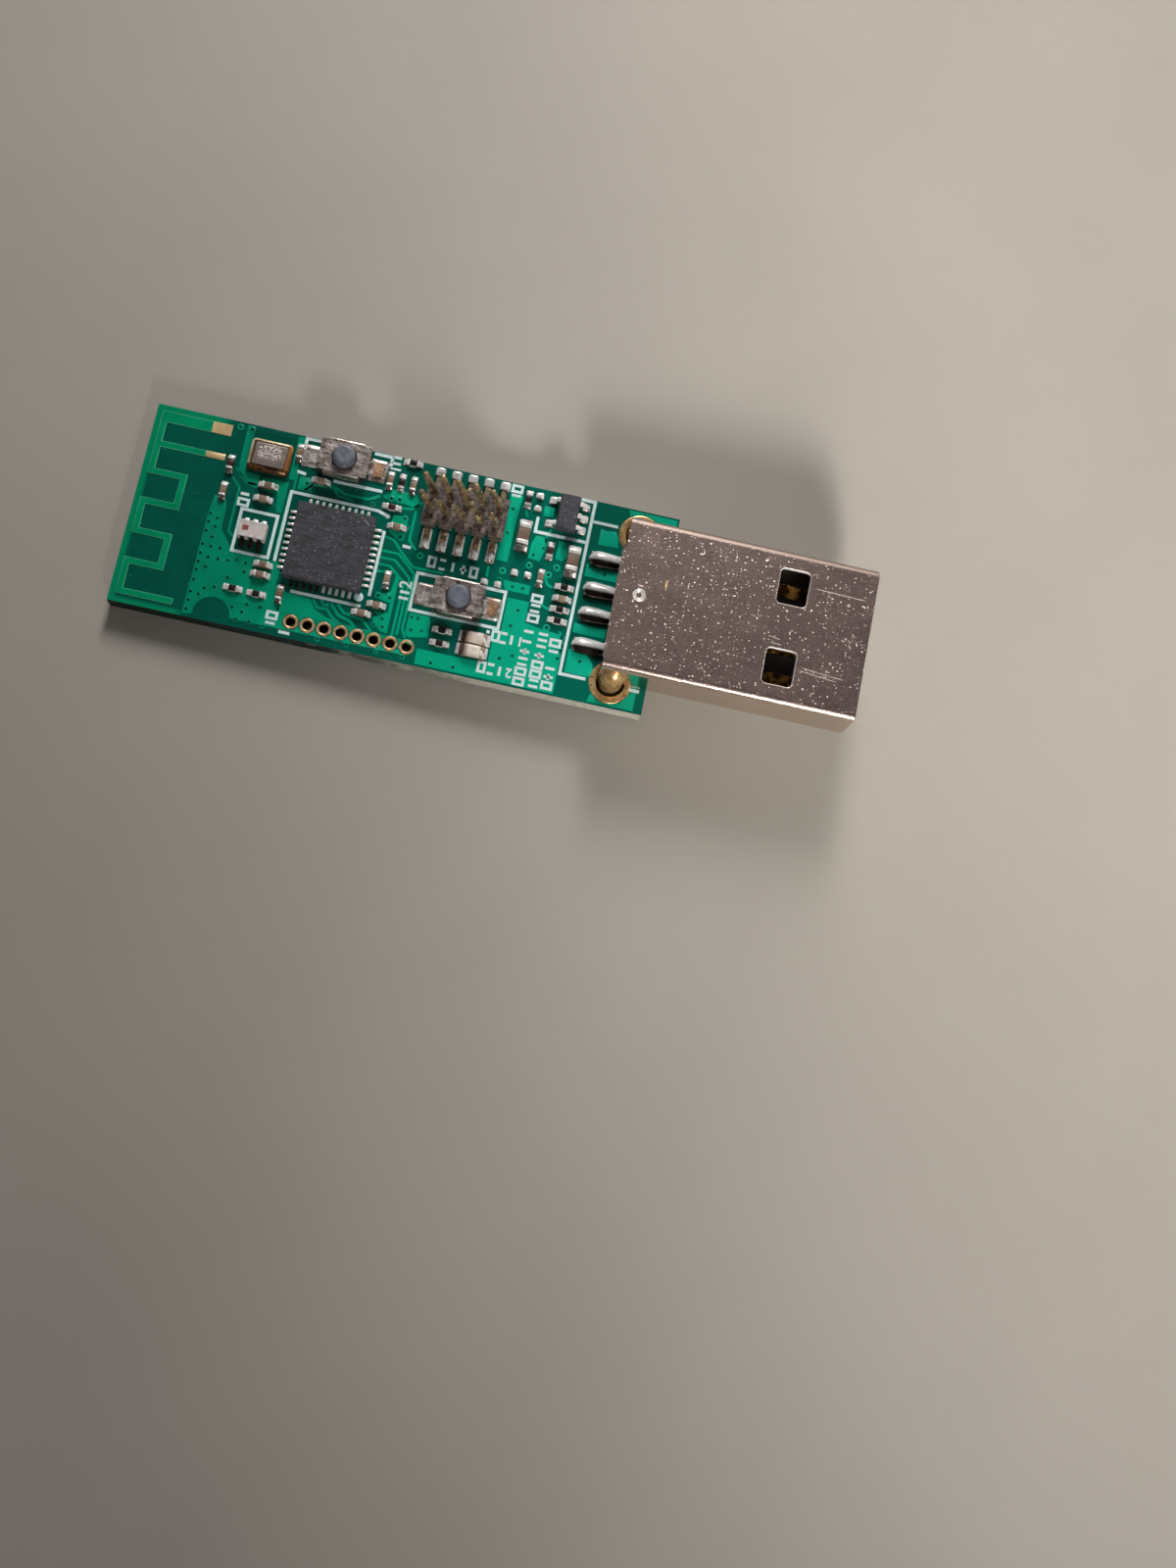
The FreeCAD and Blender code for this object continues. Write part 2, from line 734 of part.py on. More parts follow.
def switch_cover(x, y):
    """A switch's folded cover: a plate with a hole and a flange turned down on each long side."""
    under = cover_top - cover_sheet
    half = cover_width / 2 + cover_flange_out
    plate = slab(x, y, cover_length, cover_width, under, cover_top)
    saddle = slab(x, y, cover_flange_length, 2 * half, cover_flange_low, cover_top)
    top_edges = [e for e in saddle.Edges
                 if abs(e.Vertexes[0].X - e.Vertexes[1].X) > 1e-6 and e.BoundBox.ZMin > cover_top - 1e-6]
    saddle = saddle.makeFillet(cover_bend, top_edges)
    saddle = saddle.cut(slab(x, y, cover_flange_length + 1, 2 * (half - cover_sheet),
                             cover_flange_low - 1, under))
    cover = joined([plate, saddle])
    return cover.cut(drum(x, y, cover_hole_radius, 0, cover_top + 1))


def switch_button(x, y):
    """A switch's round button: a stem with a flange that the cover holds in."""
    low = button_flange_low
    profile = [(0, low), (button_flange_radius, low), (button_flange_radius, tray_height),
               (button_radius, tray_height), (button_radius, button_top - button_edge),
               (button_radius - button_edge, button_top), (0, button_top)]
    return turned(x, y, profile)


def switch_dome(x, y):
    """The arched snap spring that stands on the floor of a switch's tray and carries its button."""
    half = dome_sheet / 2
    low = tray_floor + half
    crown = button_flange_low - half
    path = [(-dome_span / 2, low), (-dome_span / 2 + dome_foot, low), (-dome_crown / 2, crown),
            (dome_crown / 2, crown), (dome_span / 2 - dome_foot, low), (dome_span / 2, low)]
    spring = bent_sheet(path, dome_sheet, -dome_width / 2, dome_width / 2)
    spring.translate(Vector(x, y, 0))
    return spring


def header_pin_places():
    """Each pin's column, row side and bend."""
    places = []
    for side, bends in ((1, header_far_bends), (-1, header_near_bends)):
        for i in range(header_columns):
            places.append((header_x + i * header_pitch, side, bends[i % len(bends)]))
    return places


def header_pin(x, side, bend):
    """One header pin: a foot on its pad, the stem in the body and the part above, pushed over."""
    half = header_pin_side / 2
    row_y = header_y + side * header_pitch / 2
    toe = header_y + side * header_foot_reach
    heel = row_y - side * half
    foot = box(x - half, x + half, min(heel, toe), max(heel, toe), header_foot_low,
               header_foot_low + header_foot_height)
    stem = slab(x, row_y, header_pin_side, header_pin_side, header_foot_low, header_body_top)
    low_loop = Part.makePolygon([Vector(x + a * half, row_y + b * half, header_body_top)
                                 for a, b in ((-1, -1), (1, -1), (1, 1), (-1, 1), (-1, -1))])
    top = header_pin_top - bend[2]
    tip_half = half * header_pin_tip_share
    high_loop = Part.makePolygon([Vector(x + bend[0] + a * tip_half, row_y + bend[1] + b * tip_half, top)
                                  for a, b in ((-1, -1), (1, -1), (1, 1), (-1, 1), (-1, -1))])
    lean = Part.makeLoft([low_loop, high_loop], True, True)
    return foot.fuse([stem, lean]).removeSplitter()


def header_body(pins):
    """The header's moulding, notched between its columns, with a square hole for each pin."""
    length = (header_columns - 1) * header_pitch + 2 * header_end_margin
    middle = header_x + (header_columns - 1) * header_pitch / 2
    body = slab(middle, header_y, length, header_body_width, header_body_low, header_body_top)
    cuts = []
    for i in range(header_columns - 1):
        x = header_x + (i + 0.5) * header_pitch
        for side in (1, -1):
            cuts.append(slab(x, header_y + side * header_body_width / 2, header_notch_width,
                             2 * header_notch_depth, header_body_low - 1, header_body_top + 1))
    return body.cut(cuts + pins)


def header_solder(x, side, pin):
    """The solder that beds one header foot on its pad."""
    half = header_solder_width / 2
    inner = header_y + side * (header_body_width / 2 + header_solder_gap)
    outer = header_y + side * header_solder_reach
    bed = box(x - half, x + half, min(inner, outer), max(inner, outer), 0, header_solder_height)
    eased = [e for e in bed.Edges if e.BoundBox.ZMin > header_solder_height - 1e-6]
    bed = bed.makeChamfer(header_solder_slope, eased)
    return bed.cut(pin)


def regulator_body():
    """The regulator's moulding, drafted above and below its parting line."""
    def loop(z, inset):
        a = regulator_width / 2 - inset
        b = regulator_length / 2 - inset
        corners = ((-a, -b), (a, -b), (a, b), (-a, b), (-a, -b))
        return Part.makePolygon([Vector(regulator_x + u, regulator_y + v, z) for u, v in corners])
    parting = regulator_lead_mid
    lower = Part.makeLoft([loop(regulator_low, regulator_draft), loop(parting, 0)], True, True)
    upper = Part.makeLoft([loop(parting, 0), loop(regulator_top, regulator_draft)], True, True)
    return lower.fuse(upper).removeSplitter()


def regulator_leads():
    """Five bent leads: three on the plug's side and two on the other."""
    leads = []
    foot_z = regulator_lead_sheet / 2
    reach = regulator_lead_span / 2
    for side, rows in ((1, (-1, 0, 1)), (-1, (-1, 1))):
        for row in rows:
            y = regulator_y + row * regulator_lead_pitch
            runs = ((regulator_width / 2 - regulator_lead_bury, regulator_lead_mid),
                    (regulator_width / 2 + regulator_lead_shoulder, regulator_lead_mid),
                    (reach - regulator_foot, foot_z), (reach, foot_z))
            path = [(regulator_x + side * run, z) for run, z in runs]
            leads.append(bent_sheet(path, regulator_lead_sheet, y - regulator_lead_width / 2,
                                    y + regulator_lead_width / 2))
    return leads


def two_ended(place, length, width, end, height):
    """The middle and the two metal ends of a small part that lies on the board."""
    x, y, across = place
    proud = small_end_proud
    middle = slab(x, y, length - 2 * end, width - 2 * proud, 0, height - proud)
    ends = [slab(x + side * (length - end) / 2, y, end, width, 0, height) for side in (1, -1)]
    return [quarter_turned(s, x, y, across) for s in [middle] + ends]


def end_solder(place, length, width, height, reach):
    """The wedge of solder against each end of a small part."""
    x, y, across = place
    wedges = []
    for side in (1, -1):
        face = x + side * length / 2
        outline = [(face, 0), (face + side * reach, 0), (face, height * small_solder_share)]
        wedges.append(prism_y(outline, y - width / 2, y + width / 2))
    return [quarter_turned(s, x, y, across) for s in wedges]


def open_beads(place):
    """The bead of solder on each pad of an empty footprint."""
    x, y, across = place
    beads = []
    for side in (1, -1):
        bead = slab(x + side * open_pad_spread, y, open_bead_length, open_bead_width, 0, open_bead_height)
        top_edges = [e for e in bead.Edges if e.BoundBox.ZMin > open_bead_height - 1e-6]
        beads.append(bead.makeChamfer(open_bead_slope, top_edges))
    return [quarter_turned(s, x, y, across) for s in beads]


def led_lens(y):
    """The clear lens moulded over a lamp's base."""
    lens = slab(led_x, y, led_lens_length, led_width, led_base_height, led_base_height + led_lens_height)
    edges = [e for e in lens.Edges if e.BoundBox.ZMin > led_base_height + led_lens_height - 1e-6]
    return lens.makeChamfer(led_lens_slope, edges)


def led_base(y):
    """The lamp's thin substrate between its two metal ends."""
    return slab(led_x, y, led_length - 2 * led_end_length, led_width, 0, led_base_height)


def led_ends(y):
    """The metal end on each side of a lamp."""
    return [slab(led_x + side * (led_length - led_end_length) / 2, y, led_end_length, led_width,
                 0, led_end_height) for side in (1, -1)]


def write_small_parts():
    """Resistors, capacitors, the inductor and the bulk capacitors, with their solder."""
    solder = []
    cores, coats, ends = [], [], []
    full = resistor_core_height + resistor_coat_height
    for place in resistor_places:
        core, *caps = two_ended(place, small_length, small_width, small_end, resistor_core_height)
        x, y, across = place
        coat = slab(x, y, small_length - 2 * small_end, small_width - 2 * small_end_proud,
                    resistor_core_height - small_end_proud, full)
        cores.append(core)
        coats.append(quarter_turned(coat, x, y, across))
        ends += caps
        solder += end_solder(place, small_length, small_width, full, small_solder_reach)
    write("resistor_cores", cores)
    write("resistor_coats", coats)
    write("resistor_ends", ends)
    kinds = (("capacitor", capacitor_places, small_length, small_width, small_end, capacitor_height,
              small_solder_reach),
             ("inductor", inductor_places, small_length, small_width, small_end, inductor_height,
              small_solder_reach),
             ("bulk_capacitor", bulk_places, bulk_length, bulk_width, bulk_end, bulk_height,
              bulk_solder_reach))
    for kind, places, length, width, end, height, reach in kinds:
        bodies, ends = [], []
        for place in places:
            body, *caps = two_ended(place, length, width, end, height)
            bodies.append(body)
            ends += caps
            solder += end_solder(place, length, width, height, reach)
        write(kind + "_bodies", bodies)
        write(kind + "_ends", ends)
    for y in led_rows_y:
        solder += end_solder((led_x, y, False), led_length, led_width, led_end_height, small_solder_reach)
    write("small_part_solder", solder)


def write_switches():
    """Both push switches, piece by piece."""
    for name, (x, y) in switch_places.items():
        write(name + "_tray", [switch_tray(x, y)])
        write(name + "_terminals", switch_terminals(x, y))
        write(name + "_dome", [switch_dome(x, y)])
        write(name + "_button", [switch_button(x, y)])
        write(name + "_cover", [switch_cover(x, y)])


def write_header():
    """The pin header: its moulding, pins and solder."""
    pins = [header_pin(*place) for place in header_pin_places()]
    solder = [header_solder(x, side, pin) for (x, side, bend), pin in zip(header_pin_places(), pins)]
    body = header_body(pins)
    write("header_body", [body])
    write("header_solder", solder)
    write("header_pins", pins)


def write_plug():
    """The plug: shell, insulator, contacts and the solder that holds them."""
    tails = [plug_contact(y, setback) for y, setback in contact_places()]
    beads = [tail_solder(y).cut(tail) for (y, setback), tail in zip(contact_places(), tails)]
    write("usb_insulator", [usb_insulator()])
    write("plug_tail_solder", beads)
    for i, tail in enumerate(tails):
        write("plug_contact_%d" % (i + 1), [tail])
    write("plug_leg_solder", [leg_solder(side) for side in (1, -1)])
    write("usb_shell", [usb_shell()])


def write_board():
    """The board, its plated holes and its antenna."""
    write("circuit_board", [circuit_board()])
    write("io_hole_eyelets", [eyelet(x, y, io_hole_radius, io_ring_radius) for x, y in io_hole_places()])
    write("leg_hole_eyelets", [eyelet(x, y, leg_hole_radius, leg_ring_radius)
                               for x, y in leg_hole_places()])
    write("antenna_trace", [antenna_trace()])
    write("antenna_pads", antenna_pads())


def write_chips():
    """The radio chip, crystal, balun, regulator and lamps."""
    lands = chip_lands()
    write("radio_chip_body", [chip_body(lands)])
    write("radio_chip_lands", lands)
    write("radio_chip_solder", chip_solder())
    write("crystal_base", [crystal_base()])
    write("crystal_rim", [crystal_rim()])
    write("crystal_lid", [crystal_lid()])
    write("balun_body", [slab(balun_x, balun_y, balun_length, balun_width, 0, balun_height)])
    write("balun_terminals", balun_terminals())
    leads = regulator_leads()
    write("regulator_body", [regulator_body().cut(leads)])
    write("regulator_leads", leads)
    write("led_bases", [led_base(y) for y in led_rows_y])
    write("led_lenses", [led_lens(y) for y in led_rows_y])
    write("led_ends", [end for y in led_rows_y for end in led_ends(y)])
    write("open_pad_solder", [bead for place in open_places for bead in open_beads(place)])


os.makedirs("parts", exist_ok=True)
write_board()
write_plug()
write_chips()
write_header()
write_switches()
write_small_parts()
print(len(written), "nodes written")
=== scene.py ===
import math

import bmesh
import bpy
from bpy.props import FloatProperty, FloatVectorProperty, IntProperty, PointerProperty
from mathutils import Matrix, Vector, noise


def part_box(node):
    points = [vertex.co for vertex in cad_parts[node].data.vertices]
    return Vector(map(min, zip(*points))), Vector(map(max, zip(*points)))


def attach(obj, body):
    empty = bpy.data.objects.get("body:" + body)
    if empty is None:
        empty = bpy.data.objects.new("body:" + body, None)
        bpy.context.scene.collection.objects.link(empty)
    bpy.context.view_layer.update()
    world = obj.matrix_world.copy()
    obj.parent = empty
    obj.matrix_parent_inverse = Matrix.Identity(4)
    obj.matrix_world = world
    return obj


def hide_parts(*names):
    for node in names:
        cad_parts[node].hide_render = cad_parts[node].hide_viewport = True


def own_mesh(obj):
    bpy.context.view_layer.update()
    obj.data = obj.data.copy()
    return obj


bl_info = {
    "name": "Radio stick looks",
    "version": (1, 0, 0),
    "blender": (4, 5, 0),
    "location": "3D View > Sidebar > Radio Stick",
    "description": "Builds the finished surfaces of a bare radio stick round its CAD frame",
    "category": "Object",
}

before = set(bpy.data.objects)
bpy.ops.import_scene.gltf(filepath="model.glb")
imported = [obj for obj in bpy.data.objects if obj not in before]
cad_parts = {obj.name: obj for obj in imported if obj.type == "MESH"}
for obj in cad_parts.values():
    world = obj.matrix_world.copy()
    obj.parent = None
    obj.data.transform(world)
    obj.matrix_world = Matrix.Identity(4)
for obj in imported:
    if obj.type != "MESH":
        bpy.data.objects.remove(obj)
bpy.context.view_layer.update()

# Places and lengths are in board millimetres: X from the antenna end towards the plug, Y across from
# the middle line and Z up from the board's top.
MM = 0.001
BOARD_LOW, BOARD_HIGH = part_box("circuit_board")
TO_FRAME = (Matrix.Translation((BOARD_LOW.x, (BOARD_LOW.y + BOARD_HIGH.y) / 2, BOARD_HIGH.z))
            @ Matrix.Scale(MM, 4))
TO_BOARD = TO_FRAME.inverted()
STICK = "stick"
FULL_TURN = 2 * math.pi
SUNK = -0.02                        # where solder and copper end, a hair inside the board
EDGE_ROUND = 0.012                  # rounding on the edges of the masked copper
RING_MARGIN, RING_STEPS = 0.06, 32  # copper round each test hole
RINGED_SIZE, PLAIN_SIZE = (0.28, 0.13), (0.19, 0.12)    # a via's outer and inner radius
VIA_FLOOR = 0.115                   # radius of a via's dark middle
SHELL_MIDDLE, SHELL_TOP = -0.15, 4.55
SHELL_SIDE = 6.02                   # past this far from the shell's middle line stand its legs
LEG_X = 38.2
DIMPLE_X, DIMPLE_REACH = 38.8, 0.6
WINDOW_X, WINDOW_Y = (48.7, 51.4), (1.6, 4.7)           # one window, and its mirror image across
TAIL_REACH = 0.45                   # how far the tails' solder runs on towards the plug
STEM_STEP = 0.22                    # how far a button's flange stands out past its stem
HEADER_MIDDLE = 4.45                # the middle line between the header's two rows of pads
LUMP_SEED = 7                       # seed of the soft noise in the solder
MARK_LONG, MARK_SHORT = 0.36, 0.24  # half sizes of a printed mark
INK_SUNK = -0.01

# printed layers, in board millimetres

HALF_ROUND = [(7.75 + 1.38 * math.cos(math.radians(a)), -7.45 + 1.38 * math.sin(math.radians(a)))
              for a in range(-10, 191, 10)]
POURS = (
    [(5.62, -7.82), (5.68, 0.5), (5.85, 1.85), (6.75, 1.55), (6.9, 1.0), (6.95, -0.75), (7.95, -1.95),
     (8.1, -2.35), (11.75, -2.35), (11.95, -2.9), (11.95, -4.1), (12.9, -4.5), (14.7, -4.6),
     (15.2, -5.35), (16.2, -5.75), (17.6, -6.0), (19.4, -6.05), (21.0, -6.15), (22.4, -6.2),
     (23.2, -6.6), (23.25, -7.82)] + HALF_ROUND,
    [(7.0, 7.85), (7.6, 7.85), (7.6, 4.2), (8.8, 4.1), (8.8, 2.95), (8.3, 3.05), (7.2, 3.95), (7.05, 4.6)],
    [(9.0, 4.05), (11.05, 4.05), (11.05, 1.5), (10.6, 1.5), (10.4, 2.9), (9.1, 3.0)],
    [(10.95, 4.3), (10.95, 7.85), (11.45, 7.85), (11.45, 4.3)],
    [(11.75, 3.65), (11.75, 4.75), (12.7, 4.75), (12.9, 4.15), (12.5, 3.65)],
    [(18.3, 4.6), (18.6, 5.3), (20.7, 5.3), (21.2, 4.6), (21.0, 4.2), (20.0, 4.35), (18.5, 4.4)],
    [(19.35, 3.35), (20.5, 3.35), (20.55, 1.7), (20.0, 1.5), (19.3, 1.9)],
    [(19.4, -2.9), (19.35, -3.4), (20.6, -3.6), (20.6, -4.3), (19.6, -4.9), (19.6, -5.2), (20.3, -5.9),
     (20.88, -6.0), (20.88, -1.6), (20.6, -1.3), (20.45, -2.7), (19.9, -2.95)],
    [(22.2, -3.98), (23.75, -3.98), (23.95, -4.4), (23.95, -5.6), (23.3, -5.75), (22.5, -5.9), (22.2, -5.6)],
    [(27.72, 1.6), (28.6, 1.6), (28.6, 5.0), (28.75, 7.1), (27.8, 7.1), (27.72, 3.0)],
    [(28.6, 0.15), (30.75, 0.15), (30.75, -0.6), (28.9, -0.6)],
    [(30.1, 2.3), (30.1, 3.5), (30.35, 4.2), (31.25, 4.2), (31.3, 3.4), (31.0, 2.2)],
    [(32.15, 2.7), (32.15, 4.15), (32.95, 4.15), (33.0, 3.0), (32.75, 2.6)],
    [(30.55, 5.9), (30.5, 6.7), (31.3, 6.7), (31.3, 5.9)],
    [(29.25, -1.15), (30.9, -1.15), (30.9, -2.8), (32.0, -3.0), (34.1, -3.2), (34.1, -7.82), (23.4, -7.82),
     (23.35, -6.6), (28.6, -6.6), (28.78, -6.4), (28.78, -4.1), (29.25, -3.95)],
    [(34.6, -1.95), (37.1, -1.95), (37.1, -2.75), (34.6, -2.75)],
    [(34.6, -4.1), (35.9, -4.15), (36.6, -4.9), (36.75, -5.6), (36.5, -5.95), (34.6, -5.95)],
    [(34.6, 1.85), (37.1, 1.85), (37.1, 2.85), (34.6, 2.85)],
    [(35.15, 4.55), (36.75, 4.6), (36.6, 5.4), (36.3, 5.9), (35.6, 5.75), (35.15, 5.85)],
    [(36.7, -7.82), (36.9, -7.1), (37.4, -7.6), (38.2, -7.76), (39.2, -7.45), (39.9, -6.5), (39.95, -5.9),
     (40.3, -5.9), (40.3, -7.82)],
    [(37.0, 7.85), (37.2, 7.3), (38.2, 7.76), (39.4, 7.3), (39.9, 6.4), (40.85, 6.4), (40.85, 7.85)],
)
TRACKS = (
    [(6.8, 3.5), (7.5, 2.8), (7.5, -0.75), (7.9, -1.1)],
    [(6.9, 4.3), (7.9, 3.3), (8.7, 3.3)],
    [(11.3, -2.0), (11.3, 3.2), (11.5, 3.6), (11.5, 5.1)],
    [(12.3, 3.7), (12.9, 4.3), (14.6, 4.45), (15.4, 4.1), (17.2, 4.1), (18.0, 4.6)],
    [(14.3, 4.6), (14.9, 3.85), (16.1, 3.75)],
    [(19.1, 1.5), (19.8, 1.35), (20.9, 0.25), (21.7, -0.42), (24.0, -0.42)],
    [(19.1, 0.35), (20.4, 0.35), (21.2, -0.3), (21.95, -1.0), (21.95, -5.4), (22.3, -6.0)],
    [(19.1, -0.2), (20.25, -0.2), (21.62, -1.35), (21.62, -5.9)],
    [(19.1, -0.75), (20.0, -0.75), (21.28, -1.8), (21.28, -6.1)],
    [(19.1, -1.3), (19.5, -1.3), (19.7, -1.2)],
    [(20.95, 4.0), (20.95, 1.6), (21.6, 0.95)],
    [(19.9, 4.0), (20.6, 4.1), (21.3, 4.7)],
    [(14.9, -4.6), (15.35, -5.15), (15.9, -5.15), (16.1, -4.6)],
    [(16.3, -4.6), (17.0, -5.4), (17.95, -5.65), (18.5, -6.1)],
    [(16.8, -4.55), (17.35, -5.1), (18.9, -5.35), (19.7, -6.1)],
    [(15.5, -4.5), (16.6, -5.65), (17.1, -5.95)],
    [(29.4, 5.5), (29.2, 5.9), (29.1, 6.2)],
    [(27.3, 1.0), (27.3, 0.1)],
    [(31.4, 4.9), (31.15, 4.3), (31.15, 3.9), (31.7, 3.7)],
    [(32.5, -1.4), (31.9, -1.2), (31.7, -1.2)],
    [(32.4, 0.35), (31.95, 0.55), (31.6, 1.2)],
    [(33.6, -2.9), (33.9, -3.3), (34.0, -4.6)],
)
RINGED_VIAS = ((6.45, 7.55), (7.35, 7.55), (28.4, 0.85), (31.9, 1.3), (32.4, 2.0), (32.6, -2.85), (30.3, 1.7),
               (20.25, 3.2), (20.25, 1.7), (18.9, 4.55), (19.55, 4.6), (22.0, 0.6), (33.9, -5.05))
PLAIN_VIAS = (
    (5.87, 0.3), (5.87, -0.35), (5.87, -1.1), (5.87, -2.2), (5.87, -2.9), (5.87, -3.6), (5.87, -4.25),
    (5.87, -5.05), (5.87, -6.0), (5.87, -6.7), (5.87, -7.4), (6.45, -0.65), (6.45, 0.05), (6.4, -1.5),
    (6.5, -2.25), (7.2, -2.25), (6.5, -3.1), (7.25, -3.1), (8.0, -3.05), (8.65, -2.85), (9.35, -2.95),
    (6.5, -3.9), (9.4, -3.65), (8.3, -4.35), (6.8, -5.55), (7.5, -5.3), (6.5, -6.1), (9.15, -6.55),
    (9.95, -6.75), (9.65, -7.4), (10.65, -7.4), (11.7, -7.5), (11.2, -6.1), (10.2, -6.1), (12.5, -5.9),
    (15.9, -7.55), (18.1, -7.5), (20.4, -7.55), (22.4, -7.5), (19.9, -4.45), (20.3, -4.95), (19.75, -5.5),
    (20.45, -5.55), (22.45, -4.3), (22.95, -4.3), (23.4, -5.2), (22.6, -5.3), (24.6, -7.5), (26.3, -7.45),
    (30.2, -2.0), (29.9, -3.3), (30.5, -5.6), (29.6, -6.0), (30.2, -0.2), (29.4, -0.25), (28.15, 3.9),
    (28.15, 5.9), (30.45, 2.6), (31.1, 3.3), (35.6, -4.9), (36.1, 2.3), (34.1, -4.0), (28.3, 0.1),
    (19.6, -3.2), (20.5, -3.2), (12.9, 3.85), (12.4, 4.3), (20.6, 2.6), (17.6, 3.8))
SILK_LINES = (
    [(11.4, -2.3), (11.4, 3.37), (18.15, 3.37), (18.85, 3.15)],
    [(18.95, 1.9), (18.95, -3.4)],
    [(13.1, -4.33), (18.5, -4.33)],
    [(8.08, 1.2), (8.08, -2.18), (10.85, -2.18), (10.85, 1.2), (8.08, 1.2)],
    [(7.7, 2.38), (8.35, 2.38)],
    [(11.6, 7.3), (11.6, 7.83), (12.75, 7.83)],
    [(11.45, 5.08), (12.15, 4.98)],
    [(14.3, 4.95), (18.1, 4.95)],
    [(16.9, 7.83), (18.3, 7.83), (18.3, 7.1)],
    [(22.15, -0.78), (22.15, -3.75), (29.0, -3.75), (29.0, -0.78), (22.15, -0.78)],
    [(20.55, 1.05), (21.2, 1.05)],
    [(12.95, -7.62), (13.8, -7.62)],
    [(30.2, 5.7), (30.2, 4.5), (34.2, 4.5)],
    [(33.0, 7.85), (34.3, 7.85), (34.3, -6.15), (36.3, -6.15)],
    [(34.4, 6.28), (36.4, 6.28)],
    [(39.7, -6.25), (40.5, -6.25)],
    [(28.2, -4.15), (28.45, -4.15)],
)
# Rows of plain marks in place of words: middle of the first, step to the next, and one kind for each.
# o is an outlined square, = two bars, i one bar, + a cross and a space a gap.
SILK_MARKS = (
    (31.35, -7.45, 0.0, 0.8, "oo=+ii"), (31.45, -2.35, 0.0, 0.8, "o=o"),
    (32.5, -7.35, 0.0, 0.74, "=oo+i="), (33.5, -7.3, 0.0, 0.68, "o+i io"),
    (23.0, 0.3, 0.82, -0.03, "o=i+o"), (28.95, -4.35, 0.62, -0.02, "o=i"), (28.4, -6.95, 0.7, -0.02, "o=i"),
    (18.65, 7.65, 0.0, -0.75, "="), (21.5, -2.75, 0.0, 0.0, "="),
    (8.05, 1.72, 0.0, 0.0, "o"), (28.2, 7.55, 0.0, -0.55, "oi"), (12.2, -6.5, 0.0, -0.62, "oi"),
)
SILK_DIGITS = (("1", 18.75, 6.95, 0.85, 90), ("2", 21.5, -1.9, 0.95, 90), ("1", 30.85, -4.35, 0.75, 180),
               ("2", 30.5, -6.95, 0.75, 180))
SILK_DOTS = ((18.2, -3.65, 0.36), (18.95, 3.1, 0.17))
RED_TOPPED = ((19.10, 3.84), (31.65, 3.16))

LID_MIDDLE = (9.2, 5.8, 0.7)
PLUG_RINGS = ((42.78, 4.22, 0.2), (47.6, 4.85, 0.22), (55.2, -0.4, 0.3), (54.7, -0.3, 0.2))
PLUG_CUTS = (((51.5, -2.95), (55.1, -3.25)), ((51.4, -3.2), (54.6, -3.5)), ((51.5, 3.3), (55.7, 3.2)),
             ((48.8, -1.05), (49.8, -1.2)), ((49.0, -1.5), (50.0, -1.6)))
PLUG_FLECK = (((40.6, 1.4), (40.64, 0.7)),)
CHIP_SCRATCH = (((17.35, 2.2), (17.85, 1.75)),)

# two-tone finishes: name, tones, size of the patches, roughness, metallic and what else differs
MOTTLED = (
    # whitened steel, used as painted highlight on rims and beads
    ("bright_steel", (255, 252, 248), (238, 228, 220), 0.4, 0.32, 0.28, {"spread": 0.06}),
    ("via_dark", (0, 66, 50), (2, 84, 64), 0.6, 0.5, 0.0, {"Specular_IOR_Level": 0.08}),
    # gold: real gilding on the leg hole rims, a painted reflection on the shell's legs
    ("gilt_and_reflected_gold", (240, 206, 148), (196, 154, 102), 0.9, 0.3, 0.6, {"spread": 0.08}),
    ("plated_copper", (250, 222, 172), (206, 160, 108), 0.3, 0.3, 0.5, {}),
    # dark brown, used as painted shade inside the plated holes
    ("hole_shade", (70, 40, 24), (38, 22, 14), 0.3, 0.5, 0.6, {}),
    ("black_plastic", (30, 28, 27), (44, 41, 39), 0.6, 0.55, 0.0, {}),
    ("flux_solder", (246, 240, 236), (136, 114, 104), 0.85, 0.26, 0.5, {"depth": 0.014}),
    ("brown_end", (118, 98, 86), (70, 54, 48), 0.5, 0.4, 0.2, {}),
    ("cream_end", (206, 184, 164), (152, 126, 108), 0.5, 0.35, 0.2, {}),
    # dark solder, used as painted shade on joints that lie in shadow
    ("dark_joint", (70, 54, 48), (30, 24, 24), 0.5, 0.3, 0.6, {}),
    ("dark_ceramic", (50, 34, 26), (96, 64, 40), 0.4, 0.4, 0.0, {}),
    ("white_ceramic", (232, 222, 218), (214, 202, 198), 0.7, 0.5, 0.0, {"depth": 0.008}),
    ("balun_mark", (164, 92, 84), (140, 72, 66), 0.2, 0.6, 0.0, {}),
    ("resistor_black", (20, 17, 19), (38, 33, 35), 0.25, 0.3, 0.0, {}),
    ("resistor_red", (70, 30, 32), (52, 26, 28), 0.25, 0.32, 0.0, {}),
    ("capacitor_tan", (172, 148, 126), (126, 102, 84), 2.6, 0.42, 0.0, {"depth": 0.008}),
    ("inductor_maroon", (84, 46, 40), (54, 32, 30), 0.3, 0.35, 0.0, {}),
    ("brown_plastic", (134, 115, 108), (44, 35, 34), 0.3, 0.45, 0.0, {"depth": 0.03}),
    ("switch_plastic", (52, 48, 48), (38, 35, 35), 0.6, 0.5, 0.0, {}),
    ("spring_steel", (205, 203, 200), (184, 182, 180), 0.6, 0.3, 1.0, {}),
    ("copper_stain", (236, 196, 160), (184, 138, 102), 0.5, 0.34, 0.55, {"depth": 0.015}),
    ("lamp_base", (176, 162, 130), (150, 134, 104), 0.6, 0.6, 0.0, {}),
)
